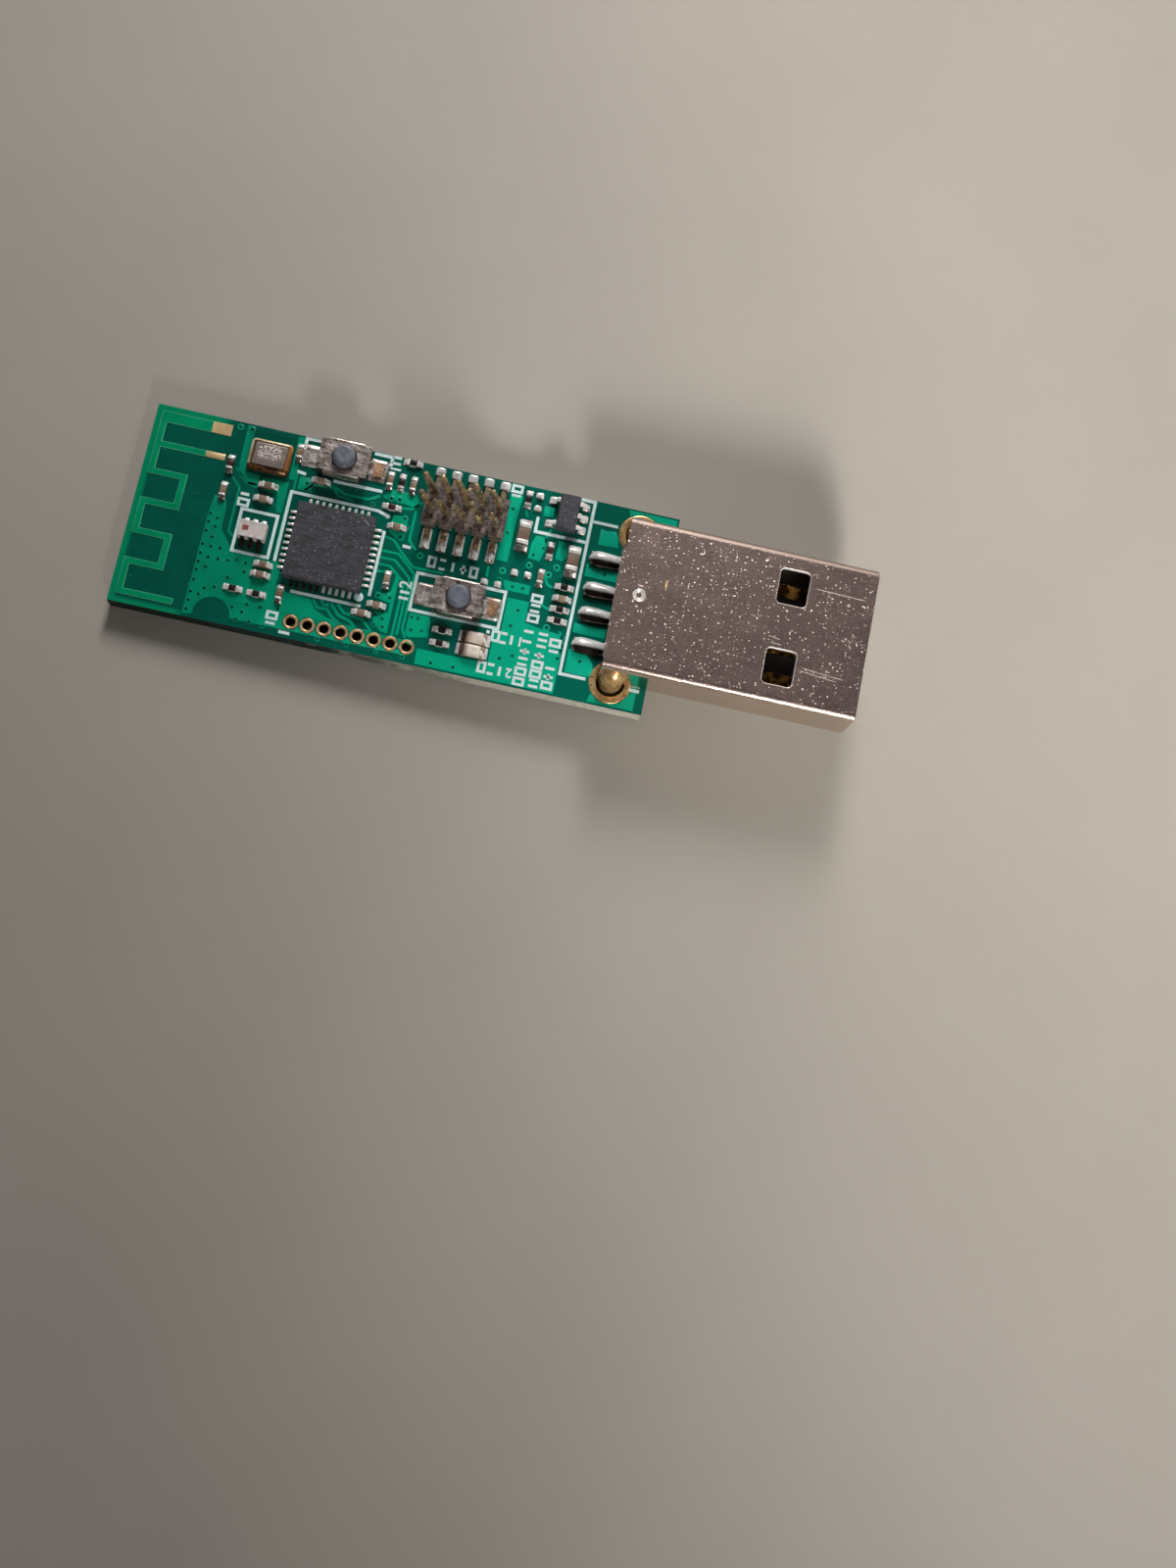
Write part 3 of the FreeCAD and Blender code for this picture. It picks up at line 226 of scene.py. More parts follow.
# tin and solder: name, bright, dull, size of the patches, roughness, depth of the ripples, tone of the
# painted shade on the near side and where that painted shade begins
# tone of the painted shade on the near side of tin and solder, and the facing along Y over which it fades
NEAR_SHADE_TONE, NEAR_SIDE = (136, 124, 118), (-0.72, -0.28)
TINNED = (
    ("solder_metal", (255, 255, 255), (178, 166, 160), 0.35, 0.17, 0.008, NEAR_SHADE_TONE, NEAR_SIDE),
    ("tail_solder", (255, 255, 255), (214, 208, 204), 0.5, 0.15, 0.008, (84, 70, 66), (-0.3, -0.02)),
    ("tinned_end", (255, 253, 250), (188, 176, 168), 0.3, 0.32, 0.012, NEAR_SHADE_TONE, NEAR_SIDE),
    ("land_metal", (252, 250, 246), (214, 204, 196), 0.3, 0.26, 0.004, NEAR_SHADE_TONE, NEAR_SIDE),
)

# stage, in metres: each lamp's name, place, the point it looks at, power, size, colour and cone
LAMPS = (
    ("far_window", (-0.04, 0.3, 0.2), (-0.02, 0.0, 0.0), 0.86, (0.08, 0.15), (1.0, 0.98, 0.96), 180),
    ("near_right", (0.1, -0.22, 0.13), (0.024, 0.0, 0.0), 0.032, (0.1, 0.1), (1.0, 0.97, 0.93), 24),
)
BRIGHT_SIDE = (0.35, 0.8, 0.0)      # the way the room's bright side lies
SKY_DIM, SKY_PALE, SKY_OVERHEAD = (0.03, 0.029, 0.028), (0.7, 0.69, 0.67), (0.06, 0.057, 0.055)
FLOOR_SIZE, FLOOR_GAP = 0.7, 0.02 * MM
CAMERA_PLACE = (-0.024728, -0.040918, 0.127331)
CAMERA_AXES = ((0.9764, -0.2102, -0.0489), (0.1963, 0.9591, -0.2037), (0.0897, 0.1893, 0.9778))
CAMERA_LENS, CAMERA_SENSOR = 40.5, 36.0


def linear(*rgb):
    """A screen colour of 0 to 255 as the linear colour that a shader takes."""
    shares = [c / 255 for c in rgb]
    return tuple(s / 12.92 if s <= 0.04045 else ((s + 0.055) / 1.055) ** 2.4 for s in shares) + (1.0,)


# what a user may change

def length(name, millimetres, description):
    """A length property, given in millimetres."""
    return FloatProperty(name=name, description=description, default=millimetres * MM, min=0.0,
                         unit="LENGTH", subtype="DISTANCE", precision=6)


def tint(name, rgb, description):
    """A colour property, given as a screen colour."""
    return FloatVectorProperty(name=name, description=description, default=linear(*rgb), size=4,
                               min=0.0, max=1.0, subtype="COLOR")


class StickSizes(bpy.types.PropertyGroup):
    pour_height: length("Copper height", 0.03, "Height of the masked copper over the board")
    track_width: length("Track width", 0.2, "Width of a masked copper track")
    silk_width: length("Ink line width", 0.24, "Width of a printed white line")
    mark_width: length("Ink stroke", 0.21, "Width of a stroke of a printed mark")
    silk_height: length("Ink height", 0.05, "Height of the printed ink over the board")
    edge_ease: length("Eased edge", 0.04, "Width of the rounding on moulded and metal edges")
    shell_ease: length("Shell edge", 0.045, "Width of the rounding on the cut edges of the plug shell")
    solder_swell: FloatProperty(name="Solder swell", default=1.0, min=0.5, max=1.5,
                                description="How full the beads of solder are", subtype="FACTOR")
    pin_bend_steps: IntProperty(name="Bend steps", default=7, min=3, max=16,
                                description="How many steps a bent header pin is drawn in")


class StickColours(bpy.types.PropertyGroup):
    mask: tint("Bare mask", (0, 96, 80), "Solder mask where there is no copper under it")
    antenna: tint("Mask over the antenna", (0, 158, 110), "Solder mask over the antenna's track")
    mask_copper: tint("Mask over copper", (4, 150, 114), "Solder mask where copper lies under it")
    silk: tint("Ink", (228, 255, 255), "Printed legend ink")
    laminate: tint("Cut laminate", (222, 219, 203), "Raw edge of the glass laminate")
    shell: tint("Plug shell", (224, 196, 188), "Plated steel of the plug shell")
    gilding: tint("Gilding", (246, 214, 158), "Gold plating on pads and rings")
    epoxy: tint("Chip epoxy", (61, 62, 69), "Moulded epoxy of the chips")
    button: tint("Button", (127, 132, 147), "Moulded button of a push switch")
    floor: tint("Floor", (190, 183, 173), "The plain floor the stick lies on")


def sizes():
    return bpy.context.scene.stick_sizes


def colours():
    return bpy.context.scene.stick_colours


def mm(value):
    """A length property in board millimetres."""
    return value / MM


# finishes

class Finish:
    """One procedural material: its shader and short ways to wire it. Sizes are in millimetres."""

    def __init__(self, name, roughness=0.5, metallic=0.0, **sockets):
        self.material = bpy.data.materials.new(name)
        self.material.use_nodes = True
        self.tree = self.material.node_tree
        self.shader = self.tree.nodes["Principled BSDF"]
        self.place = self.add("TexCoord").outputs["Object"]
        self.shader.inputs["Roughness"].default_value = roughness
        self.shader.inputs["Metallic"].default_value = metallic
        for socket, value in sockets.items():
            self.shader.inputs[socket.replace("_", " ")].default_value = value

    def add(self, kind, inputs=(), **settings):
        """A node of a kind, with its settings and its inputs, each a value or a socket."""
        made = self.tree.nodes.new("ShaderNode" + kind)
        for key, value in settings.items():
            setattr(made, key, value)
        for key, value in dict(inputs).items():
            if isinstance(value, bpy.types.NodeSocket):
                self.tree.links.new(value, made.inputs[key])
            else:
                made.inputs[key].default_value = value
        return made

    def stretched(self, stretch):
        """The place, with its pattern drawn out along the axes."""
        scale = [1 / s for s in stretch]
        return self.add("Mapping", {"Vector": self.place, "Scale": scale}).outputs["Vector"]

    def noise(self, size, detail=3.0, roughness=0.5, stretch=None):
        """Soft noise with lumps of about that size."""
        place = self.stretched(stretch) if stretch else self.place
        return self.add("TexNoise", {"Vector": place, "Scale": 1 / (size * MM), "Detail": detail,
                                     "Roughness": roughness}).outputs["Fac"]

    def span(self, value, low, high, to_low=0.0, to_high=1.0):
        """The value's range from low to high, spread over another range and clamped."""
        return self.add("MapRange", {"Value": value, "From Min": low, "From Max": high, "To Min": to_low,
                                     "To Max": to_high}).outputs["Result"]

    def cloud(self, size, low, high, to_low=0.0, to_high=1.0, **kind):
        """Soft noise, its range from low to high spread over another range and clamped."""
        return self.span(self.noise(size, **kind), low, high, to_low, to_high)

    def along(self, start, end, to_low=0.0, to_high=1.0):
        """The way along the board from one place to another, spread over a range and clamped."""
        return self.span(self.axis("X"), BOARD_LOW.x + start * MM, BOARD_LOW.x + end * MM, to_low, to_high)

    def maths(self, operation, a, b=0.0):
        """One sum on two values or sockets."""
        return self.add("Math", {0: a, 1: b}, operation=operation).outputs[0]

    def times(self, a, b):
        return self.maths("MULTIPLY", a, b)

    def most(self, a, b):
        return self.maths("MAXIMUM", a, b)

    def unsigned(self, value):
        return self.maths("ABSOLUTE", value)

    def rest(self, share):
        """What a share leaves of the whole."""
        return self.maths("SUBTRACT", 1.0, share)

    def mix(self, share, first, second):
        """Two colours mixed by a share. A colour of three numbers is a screen colour."""
        first, second = (linear(*c) if isinstance(c, tuple) and len(c) == 3 else c for c in (first, second))
        return self.add("Mix", {0: share, 6: first, 7: second}, data_type="RGBA").outputs[2]

    def part(self, vector, name):
        """One of a vector's three parts."""
        return self.add("SeparateXYZ", {"Vector": vector}).outputs[name]

    def axis(self, name):
        """The place along one axis, in metres."""
        return self.part(self.place, name)

    def facing(self, name):
        """How far a face looks along an axis, from -1 to 1."""
        return self.part(self.add("NewGeometry").outputs["True Normal"], name)

    def centred(self, spot):
        """The place, counted in metres from a spot that is given in board millimetres."""
        return self.add("VectorMath", {0: self.place, 1: TO_FRAME @ Vector(spot)},
                        operation="SUBTRACT").outputs["Vector"]

    def bump(self, height, depth, strength=1.0):
        """Height from 0 to 1 as relief of that depth, over any relief that is there."""
        settings = {"Height": height, "Distance": depth * MM, "Strength": strength}
        socket = self.shader.inputs["Normal"]
        if socket.links:
            settings["Normal"] = socket.links[0].from_socket
        self.use(Normal=self.add("Bump", settings).outputs["Normal"])

    def use(self, **links):
        """Link sockets of the shader."""
        for key, value in links.items():
            self.tree.links.new(value, self.shader.inputs[key.replace("_", " ")])


def mottled(name, tone, second, size=0.6, roughness=0.5, spread=0.1, depth=0.004, **sockets):
    """A finish of two tones in soft patches, with uneven gloss and a fine grain."""
    made = Finish(name, roughness=roughness, **sockets)
    made.use(Base_Color=made.mix(made.cloud(size, 0.35, 0.65, detail=4.0), tone, second),
             Roughness=made.cloud(size * 0.6, 0.3, 0.7, roughness - spread, roughness + spread))
    made.bump(made.noise(0.08, detail=2.0), depth)
    return made


def darker(colour, share):
    """A colour with its light cut to a share."""
    return tuple(c * share for c in colour[:3]) + (1.0,)


def board_mask():
    """Glossy green mask on top and underneath, paler where the laminate's edge lets light in, and
    raw laminate on the cut sides. The top is painted brighter towards the plug as painted light, and
    the cut sides are painted green-black towards the antenna end as painted shade, whitish towards the plug."""
    made = Finish("board_mask", roughness=0.2, Specular_IOR_Level=0.3)
    tone, laminate = colours().mask[:], colours().laminate[:]
    green = made.mix(made.cloud(2.2, 0.35, 0.7, detail=5.0), darker(tone, 0.9), darker(tone, 1.12))
    # painted light: the mask is painted brighter from 12 to 26 mm along, towards the plug
    green = made.mix(made.along(12, 26), green, darker(tone, 1.35))
    side_strip = made.span(made.unsigned(made.axis("Y")), 7.35 * MM, 7.6 * MM)
    strip = made.most(made.along(0.35, 0.6, 1.0, 0.0), made.times(side_strip, made.along(5.0, 5.8, 1.0, 0.0)))
    green = made.mix(made.times(strip, 0.85), green, colours().antenna[:])
    dust = made.cloud(0.16, 0.76, 0.82, detail=1.0, stretch=(2.2, 0.8, 1))
    green = made.mix(dust, green, (90, 170, 140))
    fibres = made.noise(0.14, detail=5.0, roughness=0.65, stretch=(3, 3, 0.8))
    side = made.mix(made.span(fibres, 0.35, 0.65), darker(laminate, 0.5), laminate)
    # painted shade: the cut sides turn dark green towards the antenna end, in soft patches
    patchiness = made.cloud(1.2, 0.4, 0.6, 0.0, 0.35, detail=5.0)
    painted_side_shade = made.maths("ADD", patchiness, made.along(12, 30, 1.0, -0.25))
    side = made.mix(made.maths("MINIMUM", painted_side_shade, 0.98), side, (6, 34, 26))
    flat = made.span(made.unsigned(made.facing("Z")), 0.6, 0.7)
    made.use(Base_Color=made.mix(flat, side, green), Roughness=made.span(flat, 0, 1, 0.8, 0.2))
    made.bump(made.noise(1.4, detail=2.0), 0.006)
    made.bump(made.times(fibres, made.span(flat, 0, 1, 1, 0)), 0.05, strength=0.6)
    return made


def masked_copper(name, tone):
    """Mask over copper: brighter green, with fine ripples from the plated copper, painted brighter still
    towards the plug as painted light, and with a painted cyan sheen near the plug end.
    """
    made = Finish(name, roughness=0.2, Specular_IOR_Level=0.22)
    green = made.mix(made.cloud(1.8, 0.3, 0.7, detail=5.0), darker(tone, 0.86), darker(tone, 1.12))
    # painted light: brighter from 9 to 22 mm along, towards the plug
    green = made.mix(made.along(9, 22), green, darker(tone, 1.6))
    # painted sheen: a pale cyan reflection in patches from 24 mm on towards the plug
    painted_sheen = made.times(made.along(24, 36, 0.0, 0.2), made.cloud(1.1, 0.3, 0.6, 0.6, 1.0))
    green = made.mix(painted_sheen, green, (40, 220, 210))
    dust = made.cloud(0.14, 0.77, 0.83, detail=1.0, stretch=(2.0, 0.8, 1))
    made.use(Base_Color=made.mix(dust, green, (150, 225, 200)),
             Roughness=made.cloud(0.8, 0.3, 0.7, 0.16, 0.26))
    made.bump(made.noise(0.5), 0.006)
    return made


def silk_ink():
    """White printed ink: slightly thin in places."""
    made = Finish("silk_ink", roughness=0.55)
    ink = colours().silk[:]
    thin = made.cloud(0.3, 0.6, 0.8, 0.0, 0.7, detail=4.0)
    made.use(Base_Color=made.mix(thin, ink, (178, 224, 216)))
    made.bump(made.noise(0.12, detail=2.0), 0.01)
    return made


def scratch_rings(made, spots):
    """1 on the scuffed rings round some spots of the shell, each given as X, Y and radius."""
    total = 0.0
    for x, y, radius in spots:
        away = made.add("VectorMath", {0: made.place, 1: TO_FRAME @ Vector((x, y, SHELL_TOP))},
                        operation="DISTANCE").outputs["Value"]
        off = made.unsigned(made.maths("SUBTRACT", away, radius * MM))
        total = made.most(total, made.span(off, 0.02 * MM, 0.06 * MM, 1.0, 0.0))
    return made.times(total, made.cloud(0.5, 0.45, 0.55, detail=1.0))


def scratch_lines(made, runs, width):
    """1 on straight scratches, each given by its two ends."""
    total = 0.0
    for (ax, ay), (bx, by) in runs:
        start, run = Vector((ax, ay, 0)), Vector((bx - ax, by - ay, 0))
        from_middle = {"Vector": made.centred(start + run / 2), "Angle": -math.atan2(run.y, run.x)}
        place = made.add("VectorRotate", from_middle, rotation_type="Z_AXIS").outputs["Vector"]
        along = made.span(made.unsigned(made.part(place, "X")), run.length * 0.4 * MM, run.length * 0.5 * MM,
                          1.0, 0.0)
        across = made.span(made.unsigned(made.part(place, "Y")), width * 0.3 * MM, width * MM, 1.0, 0.0)
        total = made.most(total, made.times(along, across))
    return total


def plug_steel():
    """Plated steel: satin and finely pitted on top with bright specks, scuffs and scratches, and
    nearly a mirror on the walls. Walls that face far are painted darker as painted shade, and walls
    that face near paler as painted highlight."""
    made = Finish("plug_steel", roughness=0.3, metallic=1.0)
    tone = colours().shell[:]
    grain = made.noise(0.16, detail=5.0, roughness=0.75)
    base = made.mix(made.span(grain, 0.35, 0.65), darker(tone, 0.62), darker(tone, 1.2))
    speck, place = 0.0, made.stretched((1.3, 1, 1))
    for size, reach, rare in ((0.3, 0.26, 0.35), (0.62, 0.17, 0.3), (0.2, 0.3, 0.55)):
        cell = made.add("TexVoronoi", {"Vector": place, "Scale": 1 / (size * MM)}).outputs
        chosen = made.add("SeparateColor", {"Color": cell["Color"]}).outputs["Red"]
        spot = made.span(cell["Distance"], reach * 0.4, reach, 1.0, 0.0)
        speck = made.most(speck, made.times(spot, made.span(chosen, rare, 1.0)))
    speck = made.times(speck, made.cloud(2.4, 0.3, 0.6, 0.45, 1.0))
    rings = made.times(0.75, scratch_rings(made, PLUG_RINGS))
    cuts = made.times(0.4, scratch_lines(made, PLUG_CUTS, 0.05))
    fleck = scratch_lines(made, PLUG_FLECK, 0.12)
    level = made.span(made.facing("Z"), 0.5, 0.95)
    marks = made.times(made.most(made.most(speck, rings), cuts), level)
    base = made.mix(marks, base, (255, 250, 244))
    base = made.mix(fleck, base, (255, 220, 150))
    # painted shade and highlight: walls facing far get a dark tone, walls facing near a pale one
    far = made.span(made.facing("Y"), 0.04, 0.2)
    wall = made.mix(far, (222, 204, 188), (146, 129, 119))
    gloss = made.maths("ADD", made.cloud(1.6, 0.3, 0.7, 0.29, 0.33, detail=2.0), made.times(marks, 0.45))
    gloss = made.maths("ADD", made.times(gloss, level), made.times(made.rest(level), 0.16))
    made.use(Base_Color=made.mix(made.maths("MINIMUM", level, made.rest(far)), wall, base),
             Roughness=made.most(gloss, made.times(far, 0.45)), Metallic=made.span(fleck, 0.0, 1.0, 1.0, 0.2))
    made.bump(made.times(grain, level), 0.012)
    made.bump(made.rest(marks), 0.015)
    return made


def contact_metal():
    """Gold plating on the blades, with tinned tails."""
    made = Finish("contact_metal", roughness=0.28, metallic=1.0)
    gold = made.mix(made.cloud(0.8, 0.4, 0.56), (255, 196, 104), (84, 56, 32))
    made.use(Base_Color=made.mix(made.along(39.5, 41.5), (200, 194, 188), gold))
    made.bump(made.noise(0.2), 0.005)
    return made


def chip_epoxy():
    """Moulded epoxy with fine streaks and pale flecks of filler."""
    made = Finish("chip_epoxy", roughness=0.5)
    tone = colours().epoxy[:]
    streak = made.cloud(0.26, 0.38, 0.62, detail=6.0, roughness=0.8, stretch=(3.4, 0.8, 1))
    base = made.mix(streak, darker(tone, 0.36), darker(tone, 1.62))
    pale = made.most(made.cloud(0.14, 0.74, 0.8, detail=0.0, stretch=(1.5, 1, 1)),
                     scratch_lines(made, CHIP_SCRATCH, 0.06))
    made.use(Base_Color=made.mix(pale, base, (150, 145, 150)), Roughness=made.span(streak, 0, 1, 0.42, 0.6))
    made.bump(streak, 0.008)
    return made


def lid_metal():
    """Satin lid with a mottled, etched middle."""
    made = Finish("lid_metal", roughness=0.38, metallic=1.0)
    from_middle = made.centred(LID_MIDDLE)
    near_x = made.span(made.unsigned(made.part(from_middle, "X")), 0.7 * MM, 1.0 * MM, 1.0, 0.0)
    near_y = made.span(made.unsigned(made.part(from_middle, "Y")), 0.4 * MM, 0.7 * MM, 1.0, 0.0)
    etched = made.times(made.cloud(0.13, 0.48, 0.6, detail=2.0), made.times(near_x, near_y))
    base = made.mix(made.cloud(0.5, 0.3, 0.7, detail=4.0), (162, 147, 140), (204, 189, 181))
    made.use(Base_Color=made.mix(made.times(etched, 0.55), base, (248, 240, 236)),
             Roughness=made.span(etched, 0, 1, 0.36, 0.5))
    made.bump(etched, 0.01)
    return made


def rim_gold():
    """Gilded rim of the crystal can: pale gold on the far and left sides and orange on the right as painted
    highlight, and brown with patches of gold on the near side as painted shade."""
    made = Finish("rim_gold", roughness=0.32, metallic=0.6)
    low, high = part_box("crystal_rim")
    x, y = made.axis("X"), made.axis("Y")
    # painted highlight: pale gold on the far and left sides, orange on the right; painted shade: brown on the
    # near side
    outer = made.most(made.span(x, low.x + 0.16 * MM, low.x + 0.24 * MM, 1.0, 0.0),
                      made.span(y, high.y - 0.24 * MM, high.y - 0.16 * MM))
    right = made.span(x, high.x - 0.36 * MM, high.x - 0.28 * MM)
    near = made.span(y, low.y + 0.3 * MM, low.y + 0.4 * MM, 1.0, 0.0)
    patchiness = made.cloud(0.5, 0.42, 0.55, detail=4.0)
    pale = made.mix(patchiness, (255, 244, 216), (240, 208, 156))
    brown = made.mix(patchiness, (64, 40, 26), (130, 88, 52))
    base = made.mix(outer, (104, 80, 58), pale)
    base = made.mix(made.times(right, 0.85), base, (206, 142, 82))
    made.use(Base_Color=made.mix(near, base, brown))
    made.bump(made.noise(0.12), 0.008)
    return made


def tarnished_pin():
    """Gold plating gone brown and grey, with green tarnish, and painted glints of pale gold in small patches.
    """
    made = Finish("tarnished_pin", roughness=0.42, metallic=0.6)
    old = made.cloud(0.4, 0.35, 0.6, detail=5.0, stretch=(1, 1, 2.2))
    base = made.mix(old, (214, 182, 134), (98, 80, 68))
    grey = made.cloud(0.9, 0.5, 0.62, detail=2.0)
    base = made.mix(grey, base, (142, 128, 112))
    green = made.cloud(0.7, 0.6, 0.68, stretch=(1, 1, 1.5))
    base = made.mix(green, base, (96, 120, 76))
    # painted glints: small patches of pale gold
    painted_glints = made.cloud(0.33, 0.6, 0.67, detail=2.0)
    base = made.mix(painted_glints, base, (255, 232, 176))
    made.use(Base_Color=base, Roughness=made.span(old, 0, 1, 0.3, 0.55))
    made.bump(made.noise(0.12), 0.015)
    return made


def switch_steel():
    """Brownish steel sheet of a switch's cover, smeared and speckled with flux."""
    made = Finish("switch_steel", roughness=0.36, metallic=1.0)
    smear = made.cloud(0.45, 0.34, 0.66, detail=6.0, roughness=0.7, stretch=(1.8, 1, 1))
    base = made.mix(smear, (164, 146, 138), (238, 229, 225))
    rust = made.cloud(0.28, 0.56, 0.7)
    base = made.mix(rust, base, (168, 124, 96))
    fleck = made.cloud(0.16, 0.7, 0.76, detail=1.0, stretch=(1.6, 1, 1))
    base = made.mix(fleck, base, (250, 246, 240))
    made.use(Base_Color=base, Roughness=made.span(smear, 0, 1, 0.24, 0.44))
    made.bump(made.noise(0.14, detail=4.0), 0.02)
    return made


def tinned(name, bright, dull, size, roughness, depth, stain, turn):
    """Tin or solder with a rippled skin in bright and dull patches, paler and less metallic on its far side
    as painted highlight, and of the tone given as stain on its near side as painted shade. The painted shade
    is full where the skin looks along Y by the first value of turn, and ends at the second."""
    made = Finish(name, roughness=roughness)
    patches = made.cloud(size, 0.52, 0.66, detail=4.0, stretch=(1.8, 0.7, 1))
    # painted highlight on faces that look far, painted shade in the stain tone on faces that look near
    far = made.span(made.facing("Y"), *turn)
    made.use(Base_Color=made.mix(far, stain, made.mix(patches, bright, dull)),
             Metallic=made.span(far, 0.0, 1.0, 0.9, 0.24),
             Roughness=made.span(patches, 0.0, 1.0, roughness * 0.8, roughness * 1.5))
    made.bump(made.noise(size * 1.4, detail=2.0), depth)
    return made


def lamp_lens():
    """Clear lens over a cream base, brown where it meets its left end."""
    made = Finish("lamp_lens", roughness=0.25, Coat_Weight=0.3)
    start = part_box("led_lenses")[0].x
    cream = made.mix(made.cloud(0.8, 0.35, 0.65, detail=2.0), (252, 242, 230), (232, 214, 196))
    made.use(Base_Color=made.mix(made.span(made.axis("X"), start + 0.1 * MM, start + 0.5 * MM),
                                 (150, 126, 112), cream))
    return made


FINISHES = {}


def make_finishes():
    """Every finish of the stick, by name."""
    gilding, button = colours().gilding[:], colours().button[:]
    for make in (board_mask, silk_ink, plug_steel, chip_epoxy, lid_metal, tarnished_pin, switch_steel,
                 contact_metal, rim_gold, lamp_lens):
        FINISHES[make.__name__] = make()
    for name, tone in (("masked_copper", colours().mask_copper[:]), ("masked_antenna", colours().antenna[:]),
                       ("masked_edge_highlight", linear(90, 206, 160))):
        FINISHES[name] = masked_copper(name, tone)
    for row in TINNED:
        FINISHES[row[0]] = tinned(*row)
    for name, tone, second, size, roughness, metallic, more in MOTTLED:
        FINISHES[name] = mottled(name, tone, second, size, roughness, metallic=metallic, **more)
    FINISHES["gilded_pad"] = mottled("gilded_pad", gilding, darker(gilding, 0.82), 0.9, 0.42, metallic=0.4)
    FINISHES["button_grey"] = mottled("button_grey", button, darker(button, 0.66), 0.4, 0.34, depth=0.014)


def look(name):
    """The material of a finish."""
    return FINISHES[name].material


# shaping

def cad_copy(node):
    """A CAD node as one surface, with its flat faces whole."""
    bm = bmesh.new()
    bm.from_mesh(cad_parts[node].data)
    bm.transform(TO_BOARD)
    bmesh.ops.remove_doubles(bm, verts=bm.verts[:], dist=1e-4)
    bmesh.ops.dissolve_limit(bm, angle_limit=math.radians(0.5), verts=bm.verts[:], edges=bm.edges[:])
    return bm


def bevelled(bm, edges, width, segments=2):
    """Round some edges, and give back the points that this made."""
    return bmesh.ops.bevel(bm, geom=edges, offset=width, offset_type="OFFSET", segments=segments,
                           profile=0.5, affect="EDGES", clamp_overlap=True, material=-1)["verts"]


def ease(bm, width, segments=2, over=40.0, only=None):
    """Round the sharp edges of a surface, or those of them that pass a test."""
    sharp = [e for e in bm.edges if len(e.link_faces) == 2 and e.calc_face_angle(0.0) > math.radians(over)
             and (only is None or only(e))]
    bevelled(bm, sharp, width, segments)


def edges_of(verts):
    """The edges that meet at some points."""
    return list({e for v in verts for e in v.link_edges})


def repaint(bm, where, index=1):
    """Give another of a surface's finishes to the faces that pass a test of their middle and of how
    far they look up."""
    for face in bm.faces:
        if where(face.calc_center_median(), face.normal.z):
            face.material_index = index


def board_box(node):
    """The lowest and the highest corner of a CAD node, in board millimetres."""
    return [TO_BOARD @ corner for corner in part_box(node)]


def extent(points):
    """The lowest corner, the highest corner and the middle of the box round some points."""
    low = Vector([min(p[i] for p in points) for i in range(3)])
    high = Vector([max(p[i] for p in points) for i in range(3)])
    return low, high, (low + high) / 2


def solids_of(node):
    """The points of each separate solid of a CAD node."""
    bm = cad_copy(node)
    left, groups = set(bm.verts), []
    for start in bm.verts:
        if start not in left:
            continue
        left.discard(start)
        group, queue = [], [start]
        while queue:
            vert = queue.pop()
            group.append(vert.co.copy())
            for edge in vert.link_edges:
                other = edge.other_vert(vert)
                if other in left:
                    left.discard(other)
                    queue.append(other)
        groups.append(group)
    bm.free()
    return groups


def boxes_of(node):
    """The extent of each separate solid of a CAD node."""
    return [extent(group) for group in solids_of(node)]


def roughen(verts, depth, size, seed):
    """Move points a little by soft noise."""
    for vert in verts:
        vert.co += noise.noise_vector(vert.co / size + Vector((seed, seed, seed))) * depth


def ball(bm, place, reach, detail=3):
    """A flattened ball about a place."""
    made = bmesh.ops.create_icosphere(bm, subdivisions=detail, radius=1.0)["verts"]
    bmesh.ops.scale(bm, vec=reach, verts=made)
    bmesh.ops.translate(bm, vec=place, verts=made)
    return made


def cut_at_board(bm):
    """Cut a surface off level, a hair inside the board, and close it."""
    bmesh.ops.bisect_plane(bm, geom=bm.verts[:] + bm.edges[:] + bm.faces[:], plane_co=(0, 0, SUNK),
                           plane_no=(0, 0, 1), clear_inner=True)
    bmesh.ops.holes_fill(bm, edges=[e for e in bm.edges if e.is_boundary], sides=0)


def block(bm, place, span):
    """A block about a place."""
    made = bmesh.ops.create_cube(bm, size=1.0)["verts"]
    bmesh.ops.scale(bm, vec=span, verts=made)
    bmesh.ops.translate(bm, vec=place, verts=made)
    return made


def pillow(bm, corner, opposite, height, rounding, lumps, seed, fall=None):
    """A rounded block of solder between two corners, which sinks into the board. Its height may fall
    to a share of itself on the side that faces the way fall points."""
    corner, opposite = Vector(corner[:2]), Vector(opposite[:2])
    middle, span = (corner + opposite) / 2, opposite - corner
    made = block(bm, (middle.x, middle.y, 0.0), (abs(span.x), abs(span.y), 2 * height))
    if fall:
        for vert in made:
            if vert.co.z > 0 and (vert.co.xy - middle).dot(Vector(fall[0])) > 0:
                vert.co.z *= fall[1]
    roughen(bevelled(bm, edges_of(made), rounding, segments=4), lumps, 0.4, seed)


def turned(bm, profile, x, y, steps=24):
    """A closed form turned about an upright axis, from its outline in radius and height."""
    chain = [bm.verts.new((x + r, y, z)) for r, z in profile]
    edges = [bm.edges.new(pair) for pair in zip(chain, chain[1:])]
    if profile[0][0] > 0:
        edges.append(bm.edges.new((chain[-1], chain[0])))
    before = set(bm.verts) - set(chain)
    bmesh.ops.spin(bm, geom=chain + edges, cent=(x, y, 0), axis=(0, 0, 1), angle=FULL_TURN, steps=steps,
                   use_merge=True, use_duplicate=False)
    made = [v for v in bm.verts if v not in before]
    bmesh.ops.remove_doubles(bm, verts=made, dist=1e-5)


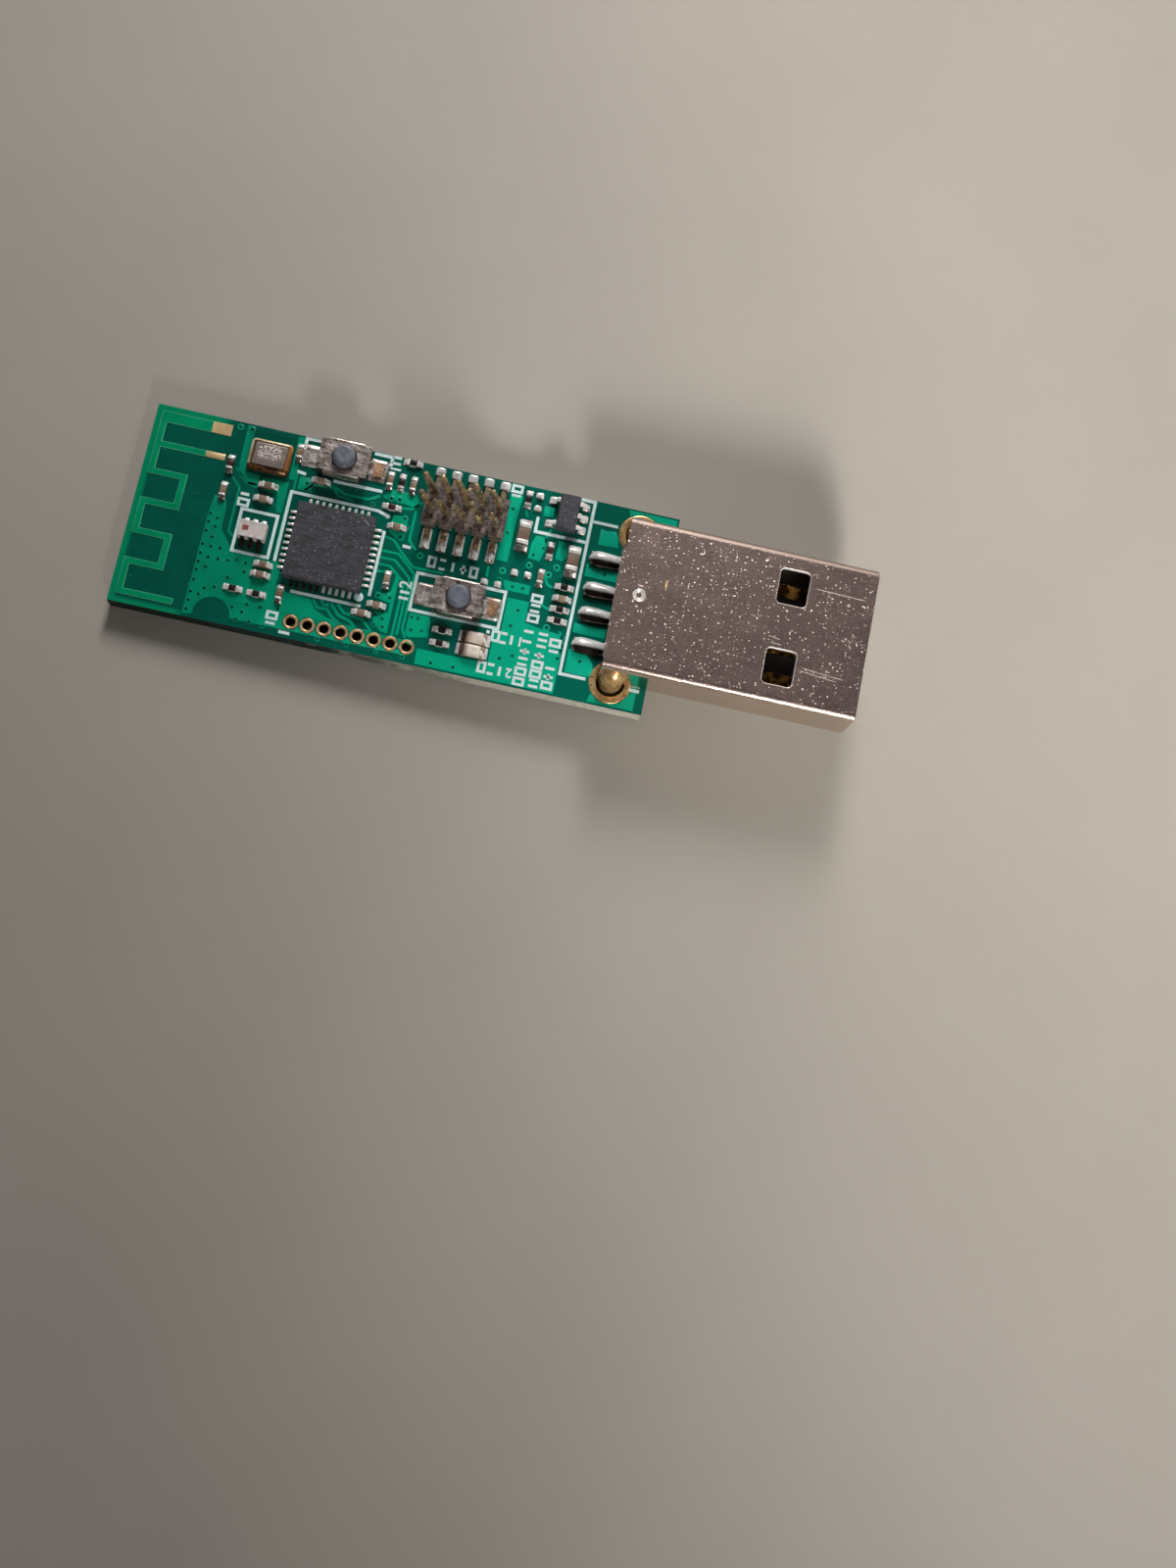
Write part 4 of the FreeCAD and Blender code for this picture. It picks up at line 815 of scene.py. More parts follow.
def from_object(made_object):
    """The evaluated mesh of a helper object, which is then removed, as a surface."""
    bpy.context.scene.collection.objects.link(made_object)
    ready = made_object.evaluated_get(bpy.context.evaluated_depsgraph_get())
    mesh = bpy.data.meshes.new_from_object(ready)
    bm = bmesh.new()
    bm.from_mesh(mesh)
    data = made_object.data
    bpy.data.objects.remove(made_object)
    bpy.data.meshes.remove(mesh)
    (bpy.data.curves if isinstance(data, bpy.types.Curve) else bpy.data.meshes).remove(data)
    return bm


def filled(outlines, low, high, eased):
    """Closed outlines, filled and raised, with rounded edges."""
    curve = bpy.data.curves.new("outline", "CURVE")
    curve.dimensions = "2D"
    curve.fill_mode = "BOTH"
    for outline in outlines:
        spline = curve.splines.new("POLY")
        spline.points.add(len(outline) - 1)
        for point, (x, y) in zip(spline.points, outline):
            point.co = (x, y, 0, 1)
        spline.use_cyclic_u = True
    curve.extrude = (high - low) / 2 - eased
    curve.bevel_depth = eased
    curve.bevel_resolution = 1
    curve.offset = -eased
    bm = from_object(bpy.data.objects.new("outline", curve))
    bmesh.ops.remove_doubles(bm, verts=bm.verts[:], dist=1e-5)
    bmesh.ops.translate(bm, vec=(0, 0, (low + high) / 2), verts=bm.verts[:])
    return bm


def drawn(paths, width, low, high, eased=0.0):
    """Lines of one width along paths, with mitred corners and eased top edges."""
    bm = bmesh.new()
    for path in paths:
        closed = path[0] == path[-1]
        verts = [bm.verts.new((x, y, low)) for x, y in (path[:-1] if closed else path)]
        for pair in zip(verts, verts[1:] + verts[:1] if closed else verts[1:]):
            bm.edges.new(pair)
    made = bmesh.ops.extrude_edge_only(bm, edges=bm.edges[:])["geom"]
    raised = [g for g in made if isinstance(g, bmesh.types.BMVert)]
    bmesh.ops.translate(bm, vec=(0, 0, high - low), verts=raised)
    bmesh.ops.recalc_face_normals(bm, faces=bm.faces[:])
    mesh = bpy.data.meshes.new("line")
    bm.to_mesh(mesh)
    bm.free()
    wall = bpy.data.objects.new("line", mesh)
    thick = wall.modifiers.new("width", "SOLIDIFY")
    thick.thickness = width
    thick.offset = 0.0
    thick.use_even_offset = True
    bm = from_object(wall)
    if eased:
        ease(bm, eased, segments=1, over=60, only=lambda e: all(v.co.z > high - 1e-5 for v in e.verts))
    return bm


def lettered(digit, x, y, height, turn, low, high):
    """One plain digit, raised."""
    curve = bpy.data.curves.new("digit", "FONT")
    curve.body = digit
    curve.size = height * 1.4
    curve.align_x = curve.align_y = "CENTER"
    curve.extrude = (high - low) / 2
    curve.offset = 0.02
    curve.resolution_u = 3
    bm = from_object(bpy.data.objects.new("digit", curve))
    bmesh.ops.remove_doubles(bm, verts=bm.verts[:], dist=1e-5)
    bmesh.ops.rotate(bm, verts=bm.verts[:], cent=(0, 0, 0),
                     matrix=Matrix.Rotation(math.radians(turn), 3, "Z"))
    bmesh.ops.translate(bm, vec=(x, y, (low + high) / 2), verts=bm.verts[:])
    return bm


def mark_paths():
    """The lines of every plain mark."""
    paths = []
    for x, y, step_x, step_y, kinds in SILK_MARKS:
        tall, wide = (MARK_LONG, MARK_SHORT) if step_x == 0 else (MARK_SHORT, MARK_LONG)
        for number, kind in enumerate(kinds):
            u, v = x + number * step_x, y + number * step_y
            upright, level = [(u, v - wide), (u, v + wide)], [(u - tall, v), (u + tall, v)]
            far, near = ([(u - tall, v + side), (u + tall, v + side)] for side in (wide, -wide))
            paths += {"o": [near + far[::-1] + near[:1]], "=": [far, near], "+": [level, upright],
                      "i": [level if step_x == 0 else upright], " ": []}[kind]
    return paths


def merged(parts):
    """Several surfaces as one."""
    whole = bmesh.new()
    for part in parts:
        mesh = bpy.data.meshes.new("part")
        part.to_mesh(mesh)
        part.free()
        whole.from_mesh(mesh)
        bpy.data.meshes.remove(mesh)
    return whole


def piece(name, bm, finishes, slot, body=STICK, stands_for=(), crease=42.0):
    """Put a surface in the scene as a finished piece of the stick, on its body."""
    bmesh.ops.recalc_face_normals(bm, faces=bm.faces[:])
    for face in bm.faces:
        face.smooth = True
    mesh = bpy.data.meshes.new(name)
    bm.to_mesh(mesh)
    bm.free()
    mesh.transform(TO_FRAME)
    mesh.set_sharp_from_angle(angle=math.radians(crease))
    for finish in [finishes] if isinstance(finishes, str) else finishes:
        mesh.materials.append(look(finish))
    made = bpy.data.objects.new(name, mesh)
    bpy.context.scene.collection.objects.link(made)
    flatter = made.modifiers.new("flat faces", "WEIGHTED_NORMAL")
    flatter.keep_sharp = True
    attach(made, body)
    if stands_for:
        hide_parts(*stands_for)
    return made


def refinish(node, finish):
    """Give a CAD node that stays in view its finish."""
    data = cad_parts[node].data
    data.materials.clear()
    data.materials.append(look(finish))


def softened(node, finish, slot, width=None, segments=2):
    """A CAD node's own form with its edges rounded."""
    bm = cad_copy(node)
    ease(bm, mm(sizes().edge_ease) if width is None else width, segments)
    return piece(node + "_eased", bm, finish, slot, stands_for=(node,))


def solder(name, bm, finish="solder_metal", **kind):
    """Cut beads of solder off just inside the board and put them in the scene."""
    cut_at_board(bm)
    piece(name, bm, finish, "solder", **kind)


# operators

class StickOperator:
    """What the operators share."""
    bl_options = {"REGISTER", "UNDO"}

    def execute(self, context):
        noise.seed_set(LUMP_SEED)
        self.build()
        return {"FINISHED"}


class STICK_OT_finishes(StickOperator, bpy.types.Operator):
    """Make every finish of the stick"""
    bl_idname = "stick.finishes"
    bl_label = "Make finishes"

    def build(self):
        make_finishes()


class STICK_OT_board(StickOperator, bpy.types.Operator):
    """Dress the laminate, and lay the masked copper and its vias on it"""
    bl_idname = "stick.board"
    bl_label = "Board and copper"

    def build(self):
        refinish("circuit_board", "board_mask")
        top = mm(sizes().pour_height)
        rings = []
        for low, high, centre in boxes_of("io_hole_eyelets"):
            radius = (high.x - low.x) / 2 + RING_MARGIN
            turns = [FULL_TURN * i / RING_STEPS for i in range(RING_STEPS)]
            rings.append([(centre.x + radius * math.cos(t), centre.y + radius * math.sin(t)) for t in turns])
        piece("ground_copper", filled(POURS + tuple(rings), SUNK, top, EDGE_ROUND), "masked_copper",
              "masked_copper")
        piece("copper_tracks", drawn(TRACKS, mm(sizes().track_width), SUNK, top, EDGE_ROUND),
              "masked_copper", "masked_copper")
        self.vias(top)
        bm = cad_copy("antenna_trace")
        ease(bm, 0.04, over=60, only=lambda e: all(v.co.z > 0.04 for v in e.verts))
        # painted highlight: the sloped edges of the antenna track take a paler green finish
        repaint(bm, lambda middle, up: 0.2 < up < 0.97)
        piece("antenna_track", bm, ("masked_antenna", "masked_edge_highlight"), "masked_copper",
              stands_for=("antenna_trace",))
        softened("antenna_pads", "gilded_pad", "gilded_pad", width=0.02)

    def vias(self, top):
        """Low masked rings, each round a dark middle."""
        bm = bmesh.new()
        for x, y in PLAIN_VIAS + RINGED_VIAS:
            wide, core = RINGED_SIZE if (x, y) in RINGED_VIAS else PLAIN_SIZE
            turned(bm, [(0, top), (core * 0.6, top), (core, top + 0.006), (core + 0.03, top + 0.018),
                        (wide - 0.02, top + 0.012), (wide, top - 0.005), (wide, SUNK), (0, SUNK)], x, y,
                   steps=12)
        repaint(bm, lambda middle, up: middle.z > top - 0.001 and any(
            math.hypot(middle.x - x, middle.y - y) < VIA_FLOOR for x, y in PLAIN_VIAS + RINGED_VIAS))
        piece("vias", bm, ("masked_copper", "via_dark"), "masked_copper")


class STICK_OT_silk(StickOperator, bpy.types.Operator):
    """Print the white lines, digits and plain marks"""
    bl_idname = "stick.silk"
    bl_label = "Printed ink"

    def build(self):
        low, high = INK_SUNK, mm(sizes().silk_height)
        parts = [drawn(SILK_LINES, mm(sizes().silk_width), low, high),
                 drawn(mark_paths(), mm(sizes().mark_width), low, high)]
        parts += [lettered(*digit, low, high) for digit in SILK_DIGITS]
        dots = bmesh.new()
        for x, y, radius in SILK_DOTS:
            turned(dots, [(0, high), (radius * 0.9, high), (radius, high - 0.02), (radius, low), (0, low)],
                   x, y)
        piece("printed_ink", merged(parts + [dots]), "silk_ink", "solder_mask")


class STICK_OT_holes(StickOperator, bpy.types.Operator):
    """Turn the rounded rims of the plated holes"""
    bl_idname = "stick.holes"
    bl_label = "Plated holes"

    def build(self):
        for node, finish, slot, name, steps in (
                ("io_hole_eyelets", "plated_copper", "plated_copper", "test_hole_rims", 40),
                ("leg_hole_eyelets", "gilt_and_reflected_gold", "gilded_pad", "leg_hole_rims", 56)):
            bm = bmesh.new()
            for group in solids_of(node):
                low, high, centre = extent(group)
                ring = (high.x - low.x) / 2
                hole = min(math.hypot(p.x - centre.x, p.y - centre.y) for p in group)
                step = (ring - hole) * 0.22
                turned(bm, [(hole, low.z + 0.03), (ring - 0.02, low.z), (ring, low.z + 0.02), (ring, 0.0),
                            (ring - step * 0.4, high.z - 0.012), (ring - step, high.z),
                            (hole + step, high.z), (hole + step * 0.3, high.z - 0.025),
                            (hole, high.z - 0.1)], centre.x, centre.y, steps=steps)
                # painted shade: the walls down inside each hole take a dark brown finish
                repaint(bm, lambda middle, up: middle.z < -0.1 and math.hypot(
                    middle.x - centre.x, middle.y - centre.y) < hole + 0.02)
            piece(name, bm, (finish, "hole_shade"), slot, stands_for=(node,))


class STICK_OT_plug(StickOperator, bpy.types.Operator):
    """Round the plug shell's cut edges, press its dimple, and finish its insides and legs"""
    bl_idname = "stick.plug"
    bl_label = "Plug"

    def build(self):
        bm = cad_copy("usb_shell")
        top = extent([v.co for v in bm.verts])[1].z
        dimple = Vector((DIMPLE_X, SHELL_MIDDLE))

        def by_dimple(place):
            return (place.xy - dimple).length < DIMPLE_REACH

        def by_window(place):
            return (WINDOW_X[0] < place.x < WINDOW_X[1]
                    and WINDOW_Y[0] < abs(place.y - SHELL_MIDDLE) < WINDOW_Y[1])

        def at_dimple(edge):
            return all(by_dimple(v.co) and v.co.z > top - 0.3 for v in edge.verts)

        def at_window(edge):
            return all(by_window(v.co) and v.co.z > top - 0.05 for v in edge.verts)

        ease(bm, 0.15, segments=4, over=25, only=at_dimple)
        ease(bm, 0.26, segments=4, over=60, only=at_window)
        ease(bm, mm(sizes().shell_ease), over=60, only=lambda e: not at_dimple(e) and not at_window(e))
        # painted reflection: the steel legs take the gold finish of the rings round them
        repaint(bm, lambda middle, up: abs(middle.y - SHELL_MIDDLE) > SHELL_SIDE
                or (middle.z < 0 and abs(middle.x - LEG_X) < 1.0))
        # painted highlight: the window rims and the dimple take a whitened steel finish
        repaint(bm, lambda middle, up: middle.z > top - 0.35 and up < 0.97
                and (by_dimple(middle) or by_window(middle)), index=2)
        piece("plug_shell", bm, ("plug_steel", "gilt_and_reflected_gold", "bright_steel"), "plug_nickel",
              stands_for=("usb_shell",))
        softened("usb_insulator", "black_plastic", "black_plastic", width=0.05)
        for i in range(1, 5):
            softened("plug_contact_%d" % i, "contact_metal", "contact_gold", width=0.03)


class STICK_OT_plug_solder(StickOperator, bpy.types.Operator):
    """Pour the long beads over the plug's tails and the cones under its legs"""
    bl_idname = "stick.plug_solder"
    bl_label = "Plug solder"

    def build(self):
        bm = bmesh.new()
        for number, box in enumerate(boxes_of("plug_tail_solder")):
            self.bead(bm, box[0], box[1] + Vector((TAIL_REACH, 0, 0.1)), number * 3.7)
        solder("tail_beads", bm, "tail_solder", stands_for=("plug_tail_solder",), crease=80)
        softened("plug_leg_solder", "solder_metal", "solder", width=0.02)

    def bead(self, bm, low, high, seed):
        """A long bead with a round back that swells towards its free end."""
        middle = (low + high) / 2
        half = (high - low) / 2
        made = ball(bm, (0, 0, 0), (1, 1, 1), 4)
        for vert in made:
            along = vert.co.x
            full = math.copysign(abs(along) ** 0.55, along)
            girth = math.sqrt(max(0.0, 1 - full ** 4))
            round_part = Vector((vert.co.y, vert.co.z)).normalized() if girth else Vector((0, 0))
            swell = girth * (1.0 - 0.12 * full)
            vert.co = Vector((full * half.x, round_part.x * swell * half.y,
                              round_part.y * swell * 2 * half.z))
            vert.co += Vector((middle.x, middle.y, 0))
        roughen(made, 0.012, 0.9, seed)


class STICK_OT_chip(StickOperator, bpy.types.Operator):
    """Round the radio chip and solder its lands"""
    bl_idname = "stick.chip"
    bl_label = "Radio chip"

    def build(self):
        softened("radio_chip_body", "chip_epoxy", "chip_epoxy", width=0.03)
        refinish("radio_chip_lands", "land_metal")
        body_low, body_high = board_box("radio_chip_body")
        bm = bmesh.new()
        for low, high, centre in boxes_of("radio_chip_solder"):
            made = block(bm, (centre.x, centre.y, 0.03), (high.x - low.x, high.y - low.y, 0.18))
            bevelled(bm, edges_of(made), 0.06)
        cut_at_board(bm)
        # painted shade: the near lands on the left half take a dark finish
        repaint(bm, lambda middle, up: middle.y < body_low.y
                and (middle.x - body_low.x) / (body_high.x - body_low.x) < 0.52)
        piece("chip_joints", bm, ("land_metal", "dark_joint"), "solder", stands_for=("radio_chip_solder",))


class STICK_OT_cans(StickOperator, bpy.types.Operator):
    """Round the crystal can and the balun, with its mark and solder"""
    bl_idname = "stick.cans"
    bl_label = "Crystal and balun"

    def build(self):
        softened("crystal_base", "dark_ceramic", "dark_ceramic", width=0.05)
        softened("crystal_rim", "rim_gold", "gilded_pad", width=0.05)
        softened("crystal_lid", "lid_metal", "lid_metal", width=0.04)
        softened("balun_body", "white_ceramic", "white_ceramic", width=0.05)
        softened("balun_terminals", "tinned_end", "tinned_lead", width=0.012)
        low, high = board_box("balun_body")
        bm = bmesh.new()
        block(bm, (low.x + 0.52, high.y - 0.62, high.z + 0.002), (0.46, 0.4, 0.012))
        piece("balun_mark", bm, "balun_mark", "white_ceramic")
        beads, shaded = bmesh.new(), bmesh.new()
        for number, box in enumerate(boxes_of("balun_terminals")):
            centre = box[2]
            side = 1 if centre.y > (low.y + high.y) / 2 else -1
            reach, rise, heap = (0.42, 0.34, beads) if side > 0 else (0.62, 0.3, shaded)
            pillow(heap, (centre.x - 0.19, centre.y + side * 0.1),
                   (centre.x + 0.19, centre.y + side * (0.1 + reach)), rise, rounding=0.1, lumps=0.03,
                   seed=number * 2.1, fall=((0, side), 0.5))
        # painted shade: the balun's near joints take a dark finish
        solder("balun_near_joints", shaded, "dark_joint")
        solder("can_joints", beads)


class STICK_OT_switches(StickOperator, bpy.types.Operator):
    """Build both push switches: cover, tray, terminals, solder and rounded button"""
    bl_idname = "stick.switches"
    bl_label = "Push switches"

    def build(self):
        beads, stains = bmesh.new(), bmesh.new()
        for number in (1, 2):
            name = "switch_%d_" % number
            softened(name + "cover", "switch_steel", "spring_steel", width=0.045, segments=3)
            softened(name + "tray", "switch_plastic", "switch_plastic", width=0.05)
            softened(name + "terminals", "flux_solder", "tinned_lead", width=0.03)
            self.spring(number)
            self.cap(number)
            tray_low, tray_high = board_box(name + "tray")
            for low, high, centre in boxes_of(name + "terminals"):
                width = high.y - low.y
                if centre.x > tray_high.x - 0.5:
                    self.joint(beads, tray_high.x, high.x, centre.y, width, number)
                    block(stains, (high.x - 0.5, centre.y, high.z + 0.004), (0.74, width + 0.04, 0.016))
                else:
                    self.joint(beads, tray_low.x, low.x, centre.y, width, number + 2.7)
        solder("switch_joints", beads, "flux_solder")
        piece("terminal_stains", stains, "copper_stain", "tinned_lead")

    def spring(self, number):
        """The arched spring under a button, on a mesh of its own. In the real switch it goes flat as the
        button is pushed; here it stays arched.
        """
        name = "switch_%d_" % number
        arch = piece(name + "spring", cad_copy(name + "dome"), "spring_steel", "spring_steel",
                     stands_for=(name + "dome",))
        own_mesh(arch)

    def cap(self, number):
        """The round button, with a soft top edge and a slight dish."""
        name = "switch_%d_button" % number
        low, high, centre = extent([TO_BOARD @ v.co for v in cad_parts[name].data.vertices])
        flange, shoulder = (high.x - low.x) / 2, low.z + 0.2
        stem = flange - STEM_STEP
        profile = [(0, low.z), (flange - 0.03, low.z), (flange, low.z + 0.03), (flange, shoulder - 0.03),
                   (flange - 0.03, shoulder), (stem, shoulder), (stem - 0.02, high.z - 0.34),
                   (stem - 0.08, high.z - 0.14), (stem - 0.16, high.z - 0.04), (stem - 0.24, high.z),
                   (stem * 0.55, high.z - 0.012), (stem * 0.25, high.z - 0.035), (0, high.z - 0.04)]
        button = bmesh.new()
        turned(button, profile, centre.x, centre.y, steps=48)
        piece("switch_%d_cap" % number, button, "button_grey", "button_grey", "button_%d" % number,
              stands_for=(name,), crease=55)

    def joint(self, beads, start, end, y, width, seed):
        """The solder that frames a terminal on three sides, from the tray out to past its end."""
        side = math.copysign(1, end - start)
        for row in (-1, 1):
            pillow(beads, (start + side * 0.1, y + row * (width / 2 - 0.06)),
                   (end + side * 0.12, y + row * (width / 2 + 0.34)), 0.3, rounding=0.14, lumps=0.05,
                   seed=seed + row, fall=((0, row), 0.6))
        pillow(beads, (end - side * 0.1, y - width / 2 - 0.22), (end + side * 0.2, y + width / 2 + 0.22),
               0.3, rounding=0.13, lumps=0.05, seed=seed, fall=((side, 0), 0.6))


class STICK_OT_header(StickOperator, bpy.types.Operator):
    """Draw the header's bent pins and their solder"""
    bl_idname = "stick.header"
    bl_label = "Pin header"

    def build(self):
        softened("header_body", "brown_plastic", "brown_plastic", width=0.06)
        body_top = board_box("header_body")[1].z
        pins = []
        for group in solids_of("header_pins"):
            top = max(p.z for p in group)
            heel = extent([p for p in group if abs(p.z - body_top) < 0.01])[2]
            tip = extent([p for p in group if p.z > top - 0.01])[2]
            low, high, centre = extent([p for p in group if p.z < body_top - 0.5])
            pins.append(self.bent_pin(heel, tip - Vector((0, 0, 0.12)), (high.x - low.x) / 2))
            foot = bmesh.new()
            bevelled(foot, edges_of(block(foot, centre, high - low)), 0.05)
            pins.append(foot)
        piece("bent_pins", merged(pins), "tarnished_pin", "tarnished_pin", stands_for=("header_pins",))
        bm = bmesh.new()
        for number, (low, high, centre) in enumerate(boxes_of("header_solder")):
            if centre.y > HEADER_MIDDLE:
                pillow(bm, (low.x, high.y - 0.78), high, 0.43, rounding=0.16, lumps=0.03, seed=number)
            else:
                pillow(bm, low, high, 0.3, rounding=0.16, lumps=0.03, seed=number * 1.9)
                heap = ball(bm, (centre.x, low.y + 0.5, 0.14), (0.31, 0.46, 0.36))
                roughen(heap, 0.05, 0.35, number * 5.1)
        solder("header_joints", bm, stands_for=("header_solder",))

    def bent_pin(self, start, end, half):
        """One square pin, drawn up out of the body, round its bend and straight on to its tip."""
        steps = sizes().pin_bend_steps
        knee = start + Vector((0, 0, (end.z - start.z) * 0.16))
        straight = knee.lerp(end, 0.28)
        path = [start - Vector((0, 0, 0.4))]
        for step in range(steps + 1):
            share = step / steps
            path.append(start.lerp(knee, share).lerp(knee.lerp(straight, share), share))
        path.append(end)
        bm = bmesh.new()
        bmesh.ops.create_grid(bm, x_segments=1, y_segments=1, size=half)
        bmesh.ops.translate(bm, vec=path[0], verts=bm.verts[:])
        face, heading = bm.faces[:], Vector((0, 0, 1))
        for here, there in zip(path, path[1:]):
            ahead = (there - here).normalized()
            made = bmesh.ops.extrude_discrete_faces(bm, faces=face)["faces"]
            verts = made[0].verts[:]
            bmesh.ops.translate(bm, vec=there - here, verts=verts)
            bmesh.ops.rotate(bm, verts=verts, cent=there,
                             matrix=heading.rotation_difference(ahead).to_matrix())
            if there is end:
                bmesh.ops.scale(bm, vec=(0.75, 0.75, 0.75), space=Matrix.Translation(-there), verts=verts)
            heading, face = ahead, made
        bmesh.ops.remove_doubles(bm, verts=bm.verts[:], dist=1e-5)
        ease(bm, 0.05, segments=2, over=45)
        return bm


class STICK_OT_regulator(StickOperator, bpy.types.Operator):
    """Round the voltage regulator and solder its leads"""
    bl_idname = "stick.regulator"
    bl_label = "Regulator"

    def build(self):
        softened("regulator_body", "chip_epoxy", "chip_epoxy", width=0.04)
        softened("regulator_leads", "tinned_end", "tinned_lead", width=0.03)
        body_middle = extent(board_box("regulator_body"))[2].x
        beads = bmesh.new()
        for number, (low, high, centre) in enumerate(boxes_of("regulator_leads")):
            side, toe = (1, high.x) if centre.x > body_middle else (-1, low.x)
            pillow(beads, (toe - side * 0.42, centre.y - 0.33), (toe + side * 0.2, centre.y + 0.33), 0.24,
                   rounding=0.12, lumps=0.05, seed=number * 4.3, fall=((side, 0), 0.6))
        solder("regulator_joints", beads)


class STICK_OT_lamps(StickOperator, bpy.types.Operator):
    """Round the two indicator lamps"""
    bl_idname = "stick.lamps"
    bl_label = "Lamps"

    def build(self):
        softened("led_lenses", "lamp_lens", "lamp_lens", width=0.07, segments=3)
        softened("led_bases", "lamp_base", "lamp_base", width=0.03)
        middle_x = extent(board_box("led_bases"))[2].x
        ends = cad_copy("led_ends")
        ease(ends, 0.06, segments=3)
        # the ends on the left side take a darker brown finish than those on the right
        repaint(ends, lambda middle, up: middle.x <= middle_x)
        piece("led_ends_eased", ends, ("cream_end", "brown_end"), "tinned_lead", stands_for=("led_ends",))
        beads = bmesh.new()
        slant = Matrix.Rotation(math.radians(28), 3, "Z")
        for box in boxes_of("led_ends"):
            high, centre = box[1:]
            if centre.x > middle_x:
                made = ball(beads, (0, 0, 0), (0.17, 0.4, 0.22))
                bmesh.ops.rotate(beads, verts=made, cent=(0, 0, 0), matrix=slant)
                bmesh.ops.translate(beads, vec=(high.x - 0.14, centre.y - 0.1, high.z - 0.14), verts=made)
        # painted highlight: the beads take a whitened steel finish
        piece("led_beads", beads, "bright_steel", "solder")


class STICK_OT_small_parts(StickOperator, bpy.types.Operator):
    """Round the small two-ended parts and give each end its solder"""
    bl_idname = "stick.small_parts"
    bl_label = "Small parts"

    def build(self):
        for node, finish, slot, width, segments in (
                ("resistor_cores", "white_ceramic", "white_ceramic", 0.02, 1),
                ("resistor_ends", "tinned_end", "tinned_lead", 0.06, 3),
                ("capacitor_bodies", "capacitor_tan", "capacitor_tan", 0.05, 2),
                ("capacitor_ends", "tinned_end", "tinned_lead", 0.08, 3),
                ("inductor_bodies", "inductor_maroon", "inductor_maroon", 0.05, 2),
                ("inductor_ends", "tinned_end", "tinned_lead", 0.08, 3),
                ("bulk_capacitor_bodies", "capacitor_tan", "capacitor_tan", 0.06, 2),
                ("bulk_capacitor_ends", "tinned_end", "tinned_lead", 0.1, 3)):
            softened(node, finish, slot, width=width, segments=segments)
        bm = cad_copy("resistor_coats")
        ease(bm, 0.02)
        repaint(bm, lambda middle, up: any(math.hypot(middle.x - x, middle.y - y) < 0.5
                                           for x, y in RED_TOPPED))
        piece("resistor_coats_eased", bm, ("resistor_black", "resistor_red"), "resistor_black",
              stands_for=("resistor_coats",))
        self.end_beads()
        beads = bmesh.new()
        for number, box in enumerate(boxes_of("open_pad_solder")):
            pillow(beads, *box[:2], box[1].z + 0.06, rounding=0.16, lumps=0.07, seed=number * 2.3)
        solder("open_pad_beads", beads, stands_for=("open_pad_solder",))

    def end_beads(self):
        """A rounded wedge of solder against each metal end."""
        swell = sizes().solder_swell
        beads = bmesh.new()
        for number, group in enumerate(solids_of("small_part_solder")):
            low, high, centre = extent(group)
            tall = extent([p for p in group if p.z > high.z - 0.01])[2]
            away = (centre - tall).xy.normalized()
            grow = Vector((0.0, 0.03, 0) if abs(away.x) > abs(away.y) else (0.03, 0.0, 0))
            pillow(beads, low - grow, high + grow, high.z * swell, rounding=0.12, lumps=0.035,
                   seed=number * 1.7, fall=(away, 0.4))
        solder("end_beads", beads, stands_for=("small_part_solder",))


